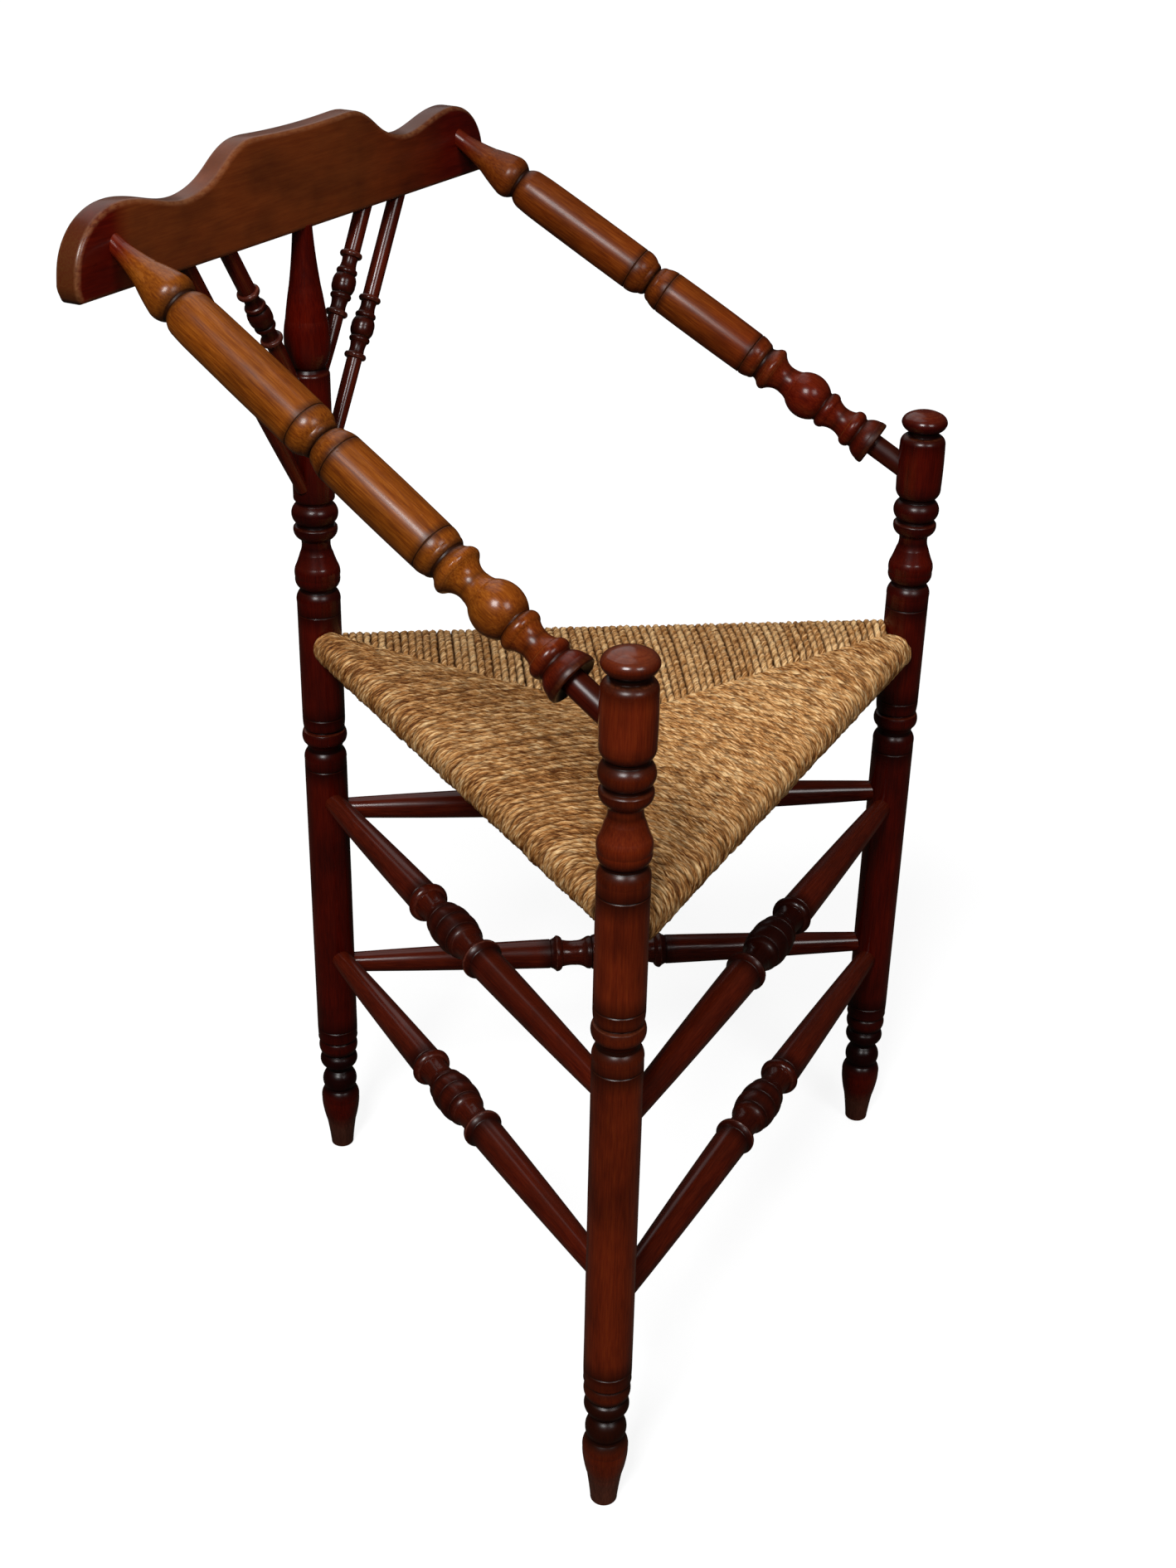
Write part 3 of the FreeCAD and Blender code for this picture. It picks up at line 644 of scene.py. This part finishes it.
spindle = {
    "radius": 6.0, "footRadius": 4.8, "ballRadius": 8.5, "sink": 3.0, "ringDark": 0.65,
    "inner": {"spacing": 164.0, "drop": 9.0, "ball": 69.0},
    "outer": {"spacing": 254.0, "drop": 82.0, "ball": 111.5},
}
socketTop = lengthOf(lowerPostSteps(post["seatLine"] + post["backRise"])) + post["socketLength"]
boardMiddle = (boardLow.y + boardHigh.y) / 2 / mm
shaft = spindle["radius"]
ball = spindle["ballRadius"]
ring = ball - 1.0
# one half of the ball, with the two thin rings before it
ballHalf = [
    line(0.6, ring), arc(3.4, ring, 0.7), line(0.6, shaft - 0.2), arc(8.0, shaft + 0.2, -0.5),
    line(0.6, ring - 0.4), arc(3.2, ring - 0.4, 0.6), line(0.5, ring - 0.8), arc(7.0, ball, 0.7),
]
ballReach = lengthOf(ballHalf)
for kind in ("inner", "outer"):
    for name, side in (("left", -1), ("right", 1)):
        sizes = spindle[kind]
        top = Vector((side * sizes["spacing"] / 2, boardMiddle, boardUnderside))
        face = Vector((side * post["socketRadius"], backPost.y, socketTop - sizes["drop"]))
        slope = (top.z - face.z) / abs(top.x - face.x)
        foot = Vector((0, backPost.y, face.z - slope * post["socketRadius"]))
        direction = (top - foot).normalized()
        postFace = post["socketRadius"] / abs(direction.x)
        mouth = spindle["footRadius"] * direction.z / abs(direction.x)
        lower = sizes["ball"] - mouth - ballReach
        upper = (top - foot).length - postFace - sizes["ball"] - ballReach
        steps = [line(spindle["sink"] + mouth, spindle["footRadius"]), arc(lower, shaft - 0.3, 0.2)]
        steps += ballHalf + backwards(ballHalf, shaft) + [line(upper + spindle["sink"], shaft)]
        start = foot + direction * (postFace - spindle["sink"])
        ballPlace = spindle["sink"] + sizes["ball"]

        # dark polish and painted shade round the rings of the ball
        def ballDark(along):
            return spindle["ringDark"] * (1 - between(abs(along - ballPlace), ballReach - 3, ballReach + 2))

        turnedPiece(f"spindle_{kind}_{name}", steps, spindle["footRadius"], start, direction,
                    stickWood, 32, darkAt=ballDark)
print("spindles turned")


# Crest board

board = {
    "length": 482.0, "thickness": 18.0, "centre": 69.0, "dip": 43.5, "ear": 53.0,
    "raised": 151.0, "dipSpacing": 260.0, "arris": 3.6, "corner": 4.0,
    # paler between these places: rubbed by sitters' backs, with painted reflection across the middle of the
    # face
    "rubbed": (-205.0, -188.0, 60.0, 185.0),
}


def smoothLine(points, stepsBetween):
    # natural cubic through the points, by chord length
    last = len(points) - 1
    gaps = [math.hypot(b[0] - a[0], b[1] - a[1]) for a, b in zip(points, points[1:])]
    curves = []
    for axis in (0, 1):
        values = [p[axis] for p in points]
        lowerRow = [0.0] * last
        rightSide = [0.0] * last
        for i in range(1, last):
            slopes = (values[i + 1] - values[i]) / gaps[i] - (values[i] - values[i - 1]) / gaps[i - 1]
            pivot = 2 * (gaps[i - 1] + gaps[i]) - gaps[i - 1] * lowerRow[i - 1]
            lowerRow[i] = gaps[i] / pivot
            rightSide[i] = (6 * slopes - gaps[i - 1] * rightSide[i - 1]) / pivot
        bends = [0.0] * (last + 1)
        for i in range(last - 1, 0, -1):
            bends[i] = rightSide[i] - lowerRow[i] * bends[i + 1]
        curves.append((values, bends))
    result = []
    for i in range(last):
        for k in range(stepsBetween):
            b = k / stepsBetween
            a = 1 - b
            point = []
            for values, bends in curves:
                bow = ((a ** 3 - a) * bends[i] + (b ** 3 - b) * bends[i + 1]) * gaps[i] * gaps[i] / 6
                point.append(a * values[i] + b * values[i + 1] + bow)
            result.append(tuple(point))
    return result + [points[-1]]


def boardOutline():
    half = board["length"] / 2
    flat = board["raised"] / 2
    dip = board["dipSpacing"] / 2
    top = board["centre"]
    low = board["dip"]
    ear = board["ear"]
    earPlace = half - 42.0
    corner = board["corner"]
    # right half of the flowing top edge, from the middle to the ear's foot
    right = [
        (flat - 30.0, top), (flat - 9.0, top - 0.6), (flat + 7.0, top - 7.0), (flat + 22.0, low + 9.0),
        (dip - 12.0, low + 1.4), (dip + 4.0, low), ((dip + earPlace) / 2, (low + ear) / 2 + 1.0),
        (earPlace, ear), (half - 18.0, ear * 0.84), (half - 3.0, ear * 0.48), (half, ear * 0.18),
    ]
    top = smoothLine([(-x, z) for x, z in reversed(right)] + right, 12)
    bottomCount = 60
    width = 2 * half - 2 * corner
    bottom = [(half - corner - width * i / bottomCount, 0.0) for i in range(bottomCount + 1)]
    foot = []
    for part in (0.33, 0.66):
        foot.append((half - corner * part ** 1.6, ear * 0.18 * (1 - part)))
    return top + foot + bottom + [(-x, z) for x, z in reversed(foot)]


def makeBoard():
    outline = boardOutline()
    count = len(outline)
    arris = board["arris"]
    halfThick = board["thickness"] / 2
    arcSteps = 6
    narrowing = 0.06  # how much shorter the middle line of each face is than the outline
    normals = []
    for i in range(count):
        run = (Vector(outline[(i + 1) % count]) - Vector(outline[i - 1])).normalized()
        normals.append(Vector((run.y, -run.x)))  # inward, for an outline that runs clockwise
    rounding = []
    # the third value is the arris's wear with its painted highlight line
    for k in range(arcSteps + 1):
        angle = math.pi / 2 * k / arcSteps
        depth = halfThick - arris * (1 - math.cos(angle))
        rounding.append((arris * (1 - math.sin(angle)), depth, math.sin(2 * angle)))
    rows = [(inset, -depth, wear) for inset, depth, wear in rounding] + rounding[::-1]
    vertices = []
    places = []
    wearValues = []

    def addPoint(x, depth, z, wear):
        vertices.append(Vector((x, boardMiddle + depth, boardUnderside + z)) * mm)
        places.extend((z + 30, depth + 140, x))
        wearValues.append(wear)

    for inset, depth, wear in rows:
        for (x, z), inward in zip(outline, normals):
            addPoint(x + inward.x * inset, depth, z + inward.y * inset, wear * (0.5 if z < 1.0 else 1.0))
    faces = []
    for row in range(len(rows) - 1):
        faces += ringFaces(row * count, (row + 1) * count, count)
    for rim, depth in ((0, -halfThick), ((len(rows) - 1) * count, halfThick)):
        # rings of the same outline, each drawn in towards the board's long middle line
        outer = rim
        for drawn in (0.35, 0.7, 1.0):
            inner = len(vertices)
            for i in range(count):
                x = vertices[rim + i].x / mm
                z = vertices[rim + i].z / mm - boardUnderside
                addPoint(x * (1 - narrowing * drawn), depth, z + (board["dip"] / 2 - z) * drawn, 0.0)
            band = ringFaces(outer, inner, count)
            faces += [face[::-1] for face in band] if depth < 0 else band
            outer = inner
    # paler middle of the board: rubbing and painted reflection
    rubbed = [fadeInOut(vertex.x / mm, *board["rubbed"]) for vertex in vertices]
    none = [0.0] * len(vertices)
    marks = {"groove": none, "dull": none, "wear": wearValues, "rubbed": rubbed}
    newPiece("crest_board_planed", vertices, faces, boardWood, ["crest_board"],
             "woodPlace", places, marks)


makeBoard()
print("crest board planed")


# Rush seat: one twisted cord, wound over three rails, in three fields that meet at seams

rush = {
    "pitch": 5.5, "cordRadius": {"left": 2.8, "right": 2.85, "front": 2.8}, "railRadius": 8.0, "bedded": 0.4,
    "twist": {"left": 34.0, "right": 17.0, "front": 34.0},  # mm for one turn of the two strands
    "lobe": 0.12, "leafRidge": 0.32, "sway": 0.45,  # shares of the radius, and mm
    # each field's paleness; the right field is painted paler than the others to offset its shade
    "pale": {"left": 0.25, "right": 0.55, "front": 0.35}, "paleSpread": 0.55,
    "middle": Vector((3.0, -70.0, 0)), "middleTop": 467.5, "middleLow": 455.0,  # where the seams meet
    "crown": 4.0, "lean": {"left": -3.0, "right": 0.0, "front": -13.0},  # degrees
    "dive": 3.2, "pastSeam": 1.5, "sideways": 0.35,  # mm: down at the seam, past it, each turn's own place
    "ringStep": 1.7, "lowRingStep": 4.5, "outerSides": 11, "innerSides": 4, "outerAngle": 110.0,
}


def rushMaterial():
    # Rush leaves twisted by hand into a cord: dull straw, each turn a little different,
    # painted shade in the hollows, the fibres running round the cord at a slant. Patterns are given as in
    # the wood.
    patterns = {
        "leaves": (1.1, 7.0, 3.0, 0.75),  # a folded leaf's ribs, a little wider than real ones to show
        "patches": (5.0, 16.0, 2.0, 0.5),  # a whole leaf
    }
    material, tree = newMaterial("twisted_rush")
    place = addNode(tree, "Attribute", {"attribute_name": "cordPlace"}, give="Vector")
    tint = addNode(tree, "Attribute", {"attribute_name": "strandTint"}, give="Fac")
    hollow = addNode(tree, "Attribute", {"attribute_name": "hollow"}, give="Fac")
    noises = {}
    for name, (across, along, detail, coarse) in patterns.items():
        scaled = addNode(tree, "Mapping", {"Scale": (1 / across, 1 / across, 1 / along)}, {0: place})
        settings = {"Scale": 1.0, "Detail": detail, "Roughness": coarse}
        noises[name] = addNode(tree, "TexNoise", settings, {0: scaled})
    tone = addNode(tree, "Mix", {0: 0.15}, {2: noises["leaves"], 3: noises["patches"]})
    tone = addNode(tree, "Mix", {0: 0.12}, {2: tone, 3: tint})
    stops = ((0.38, "#401d06"), (0.43, "#77461a"), (0.49, "#a8733e"), (0.55, "#cc9b62"), (0.62, "#ebc894"))
    body = addNode(tree, "ValToRGB", {"stops": stops}, {0: tone})
    # painted shade: hollows, creases and the turns round the rails darkened to brown
    shade = addNode(tree, "Math", {"operation": "MULTIPLY", 1: 0.85}, {0: hollow})
    body = addNode(tree, "Mix", {"data_type": "RGBA", 7: "#4a2608"}, {0: shade, 6: body}, 2)
    bump = addNode(tree, "Bump", {"Distance": 0.8 * mm}, {"Height": noises["leaves"]})
    dull = {"Roughness": 0.6, "IOR": 1.45, "Specular IOR Level": 0.15}
    shader = addNode(tree, "BsdfPrincipled", dull, {"Base Color": body, "Normal": bump})
    addNode(tree, "OutputMaterial", links={"Surface": shader})
    return material


def crossing(point, direction, seamStart, seamEnd):
    # how far along the direction the seam's line is crossed, and which share of the seam lies before it
    run = seamEnd - seamStart
    gap = seamStart - point
    under = direction.x * run.y - direction.y * run.x
    return (gap.x * run.y - gap.y * run.x) / under, (gap.x * direction.y - gap.y * direction.x) / under


def strandPath(railPoint, inward, along, lean, reach, seamTop, seamLow, crown, wrap):
    # centre line of one turn: underside of the seat, round the rail, over the top, down into the seam
    skew = math.tan(math.radians(lean))
    height = railPoint.z
    dive = rush["dive"]

    def place(u, z):
        flat = railPoint + inward * u + along * (u * skew)
        return Vector((flat.x, flat.y, z))

    points = []
    lowCount = max(2, int(reach / rush["lowRingStep"]))
    for i in range(lowCount, 0, -1):
        share = i / lowCount
        sag = crown * 0.5 * math.sin(math.pi * share)
        points.append(place(reach * share, (height - wrap) * (1 - share) + seamLow * share - sag))
    turnCount = max(8, int(math.pi * wrap / rush["ringStep"]))
    for i in range(turnCount + 1):
        angle = -math.pi / 2 - math.pi * i / turnCount
        points.append(place(wrap * math.cos(angle), height + wrap * math.sin(angle)))
    topCount = max(3, int(reach / rush["ringStep"]))
    for i in range(1, topCount + 1):
        share = i / topCount
        u = reach * share
        z = (height + wrap) * (1 - share) + seamTop * share + crown * math.sin(math.pi * share) ** 0.8
        fromSeam = reach - u
        if fromSeam < dive * 2:
            z -= dive * (1 - fromSeam / (dive * 2)) ** 2
        points.append(place(u, z))
    return points + [points[-1] + inward * 1.2 - upright * 4.0]  # the end is tucked under the seam


def cordSection():
    # angles round the cord, closer together on the side that shows
    outer, shown, hidden = rush["outerAngle"], rush["outerSides"], rush["innerSides"]
    gap = (360 - 2 * outer) / (hidden + 1)
    angles = [-outer + 2 * outer * i / (shown - 1) for i in range(shown)]
    angles += [outer + gap * i for i in range(1, hidden + 1)]
    return [math.radians(angle) for angle in angles]


def cordMesh(paths, cordRadius, cordTwist, pale, seed):
    # twisted tubes along the paths, each wound about its own centre
    draw = random.Random(seed)
    section = cordSection()
    sides = len(section)
    sway = rush["sway"]
    swell = 0.08  # how much the thickness changes
    swellEvery, swayEvery, liftEvery, leafEvery = 8, 22, 17, 7  # mm
    leafFineness = 2.8
    vertices = []
    faces = []
    places = []
    marks = {"strandTint": [], "hollow": []}
    for path, windingCentre in paths:
        base = len(vertices)
        tint = pale + rush["paleSpread"] * draw.random()
        phase = draw.uniform(0, 6.28)
        twist = cordTwist * draw.uniform(0.8, 1.25)
        thick = cordRadius * draw.uniform(0.95, 1.04)
        offset = draw.uniform(0, 900)
        travelled = 0.0
        count = len(path)
        for k in range(count):
            tangent = (path[min(k + 1, count - 1)] - path[max(k - 1, 0)]).normalized()
            if k:
                travelled += (path[k] - path[k - 1]).length
            out = path[k] - windingCentre
            out = (out - tangent * out.dot(tangent)).normalized()
            side = tangent.cross(out)
            swollen = 1 + swell * noise.noise((travelled / swellEvery, offset, 0))
            centre = path[k] + side * (sway * noise.noise((travelled / swayEvery, offset, 7)))
            centre += out * (0.7 * sway * noise.noise((travelled / liftEvery, offset, 19)))
            spin = 2 * math.pi * travelled / twist + phase
            railShade = 0.42 * between(0.85 - out.z, 0.0, 0.7)  # painted shade on the cords round the rails
            for angle in section:
                cosine = math.cos(angle - spin)
                sine = math.sin(angle - spin)
                lobe = rush["lobe"] * math.cos(2 * (angle - spin))
                across = (cosine * leafFineness, sine * leafFineness, travelled / leafEvery + offset)
                ridge = rush["leafRidge"] * noise.noise(across)
                radius = thick * swollen * (1 + lobe + ridge)
                spot = centre + out * (radius * math.cos(angle)) + side * (radius * math.sin(angle))
                vertices.append(spot * mm)
                places += [thick * cosine + offset, thick * sine, travelled]
                gap = between(1 - math.cos(angle), 0.12, 0.5)  # painted shade down between two turns
                # painted shade in the creases of the twist
                creaseShade = between(-lobe - ridge, 0.03, 0.15)
                marks["hollow"].append(max(gap, creaseShade * 0.8, railShade))
        for k in range(count - 1):
            faces += ringFaces(base + k * sides, base + (k + 1) * sides, sides)
        marks["strandTint"] += [tint] * (count * sides)
        faces.append(tuple(range(base + sides - 1, base - 1, -1)))
        faces.append(tuple(range(base + (count - 1) * sides, base + count * sides)))
    return vertices, faces, places, marks


def makeField(name, startPost, endPost, seamEnds, seed):
    railHeight = railHeights[name]
    run = endPost - startPost
    along = run.normalized()
    inward = Vector((-along.y, along.x, 0))
    middle = rush["middle"]
    if inward.dot(middle - startPost) < 0:
        inward = -inward
    cordRadius = rush["cordRadius"][name]
    wrap = rush["railRadius"] + cordRadius - rush["bedded"]
    clear = postRadius + cordRadius * 0.8
    count = round((run.length - 2 * clear) / rush["pitch"])
    own = rush["sideways"]
    draw = random.Random(seed)
    paths = []
    for i in range(count + 1):
        place = clear + (run.length - 2 * clear) * i / count
        place += draw.uniform(-own, own) if 0 < i < count else 0
        point = startPost + along * place
        point.z = railHeight
        # the lean fades out towards both posts
        lean = rush["lean"][name] * min(1.0, 4 * min(place, run.length - place) / run.length)
        direction = inward + along * math.tan(math.radians(lean))
        seams = [(*crossing(point, direction, corner, middle), rail) for corner, rail in seamEnds]
        reach, toMiddle, otherRail = min(seam for seam in seams if seam[0] > 0 and 0 <= seam[1] <= 1.001)
        lowerRail = min(railHeight, otherRail)
        seamTop = (lowerRail + wrap) * (1 - toMiddle) + rush["middleTop"] * toMiddle
        seamLow = (lowerRail - wrap) * (1 - toMiddle) + rush["middleLow"] * toMiddle
        crown = rush["crown"] * min(1.0, reach / 60) + draw.uniform(-0.25, 0.25)
        whole = reach + rush["pastSeam"]
        path = strandPath(point, inward, along, lean, whole, seamTop, seamLow, crown, wrap)
        windingCentre = Vector((point.x, point.y, railHeight - 0.01)) + inward * min(reach * 0.5, 30.0)
        paths.append((path, windingCentre))
    nodes = ["rush_seat"] if name == "left" else []
    vertices, faces, places, marks = cordMesh(
        paths, cordRadius, rush["twist"][name], rush["pale"][name], seed)
    newPiece("rush_field_" + name, vertices, faces, rushCord, nodes, "cordPlace", places, marks)


rushCord = rushMaterial()
railHeights = {side: heightOf("seat_rail_" + side) for side in triangle}
for seed, (name, posts) in enumerate(triangle.items(), 11):
    # at each end the field meets the one that shares the post
    seamEnds = [(corner, railHeights[other]) for corner in posts for other in triangle
                if other != name and corner in triangle[other]]
    makeField(name, *posts, seamEnds, seed)
print("rush wound")


# The rails inside the rush keep their own shape

def railMaterial():
    # Beech left bare under the rush: pale, dry and matt, never polished.
    grainScale = (60.0, 60.0, 400.0)  # per metre
    material, tree = newMaterial("bare_beech_rail")
    place = addNode(tree, "TexCoord", give="Object")
    grainPlace = addNode(tree, "Mapping", {"Scale": grainScale}, {0: place})
    grainNoise = {"Scale": 1.0, "Detail": 4.0, "Roughness": 0.6}
    grain = addNode(tree, "TexNoise", grainNoise, {"Vector": grainPlace})
    body = addNode(tree, "ValToRGB", {"stops": ((0.3, "#8a6038"), (0.7, "#b58a5c"))}, {0: grain})
    shader = addNode(tree, "BsdfPrincipled", {"Roughness": 0.75}, {"Base Color": body})
    addNode(tree, "OutputMaterial", links={"Surface": shader})
    return material


bareBeech = railMaterial()
for side in railHeights:
    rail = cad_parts["seat_rail_" + side]
    rail.data.materials.clear()
    rail.data.materials.append(bareBeech)


# Studio: pale floor, soft lamps, white background

studio = {
    "floorSize": 30.0, "floorColour": "#8c8c8c", "floorToLight": "#3c352e",
    "glow": (0.84, 1.0), "glowReach": (0.7, 1.8),  # the floor's own white, near and far, and where
    "worldFill": 0.1, "worldGloss": 0.02,
    # place, height of the point it lights, width, watts
    "lamps": {
        "key": ((-2.2, -0.4, 2.6), 0.5, 0.9, 92.0),
        "side": ((-1.1, -2.2, 2.3), 0.5, 0.9, 28.0),
        "back": ((1.5, 1.6, 2.6), 0.5, 2.4, 13.0),
        "top": ((0.3, 0.6, 3.2), 0.4, 1.6, 9.0),
    },
}


def floorMaterial():
    # Matt white studio board, white to the eye with the chair's soft shadow on it. What it
    # throws back on the chair is kept low, as in a darker room.
    material, tree = newMaterial("matt_studio_board")
    seen = addNode(tree, "LightPath", give="Is Camera Ray")
    tones = {"data_type": "RGBA", 6: studio["floorToLight"], 7: studio["floorColour"]}
    tone = addNode(tree, "Mix", tones, {0: seen}, 2)
    matt = {"Roughness": 0.9, "Specular IOR Level": 0.1}
    paint = addNode(tree, "BsdfPrincipled", matt, {"Base Color": tone})
    place = addNode(tree, "NewGeometry", give="Position")
    away = addNode(tree, "VectorMath", {"operation": "LENGTH"}, {0: place}, "Value")
    glow = addNode(tree, "MapRange", dict(enumerate(studio["glowReach"] + studio["glow"], 1)), {0: away})
    glow = addNode(tree, "Math", {"operation": "MULTIPLY"}, {0: glow, 1: seen})
    white = addNode(tree, "Emission", {"Color": "#ffffff"}, {"Strength": glow})
    both = addNode(tree, "AddShader", links={0: paint, 1: white})
    addNode(tree, "OutputMaterial", links={"Surface": both})
    return material


def makeFloor():
    half = studio["floorSize"] / 2
    corners = [(x * half, y * half, 0) for x, y in ((-1, -1), (1, -1), (1, 1), (-1, 1))]
    mesh = bpy.data.meshes.new("floor")
    mesh.from_pydata(corners, [], [(0, 1, 2, 3)])
    mesh.materials.append(floorMaterial())
    floor = addObject("floor", mesh)
    floor.location.z = -0.0005


def makeLamp(name, place, aimHeight, width, watts):
    lamp = bpy.data.lights.new(name, "AREA")
    lamp.size = width
    lamp.energy = watts
    holder = addObject(name, lamp)
    holder.location = place
    holder.rotation_euler = (upright * aimHeight - Vector(place)).to_track_quat("-Z", "Y").to_euler()


def makeWorld():
    world = bpy.data.worlds.new("studio")
    bpy.context.scene.world = world
    world.use_nodes = True
    tree = world.node_tree
    tree.nodes.clear()
    seen = addNode(tree, "LightPath", give="Is Camera Ray")
    glossy = addNode(tree, "LightPath", give="Is Glossy Ray")
    strength = addNode(tree, "MapRange", {3: studio["worldFill"], 4: studio["worldGloss"]}, {0: glossy})
    fill = addNode(tree, "Background", {"Color": "#ffffff"}, {"Strength": strength})
    white = addNode(tree, "Background", {"Color": "#ffffff"})
    both = addNode(tree, "MixShader", links={0: seen, 1: fill, 2: white})
    addNode(tree, "OutputWorld", links={"Surface": both})


makeFloor()
makeWorld()
for name, settings in studio["lamps"].items():
    makeLamp(name, *settings)
print("studio lit")


# Camera where the photograph was taken from

view = {
    "place": (-1.1767, -0.6290, 1.100), "yaw": 63.416, "pitch": 27.784, "roll": 1.298,
    "focalPixels": 2470.875, "framePixels": 1891, "sensor": 36.0,
}


def makeCamera():
    yaw, pitch, roll = [math.radians(view[angle]) for angle in ("yaw", "pitch", "roll")]
    lens = bpy.data.cameras.new("camera")
    lens.sensor_width = view["sensor"]
    lens.lens = view["focalPixels"] * view["sensor"] / view["framePixels"]
    camera = addObject("camera", lens)
    aim = Matrix.Rotation(-yaw, 4, "Z") @ Matrix.Rotation(math.pi / 2 - pitch, 4, "X")
    camera.matrix_world = Matrix.Translation(view["place"]) @ aim @ Matrix.Rotation(roll, 4, "Z")
    bpy.context.scene.camera = camera


makeCamera()
bpy.context.scene.view_settings.view_transform = "Standard"
print("camera set")
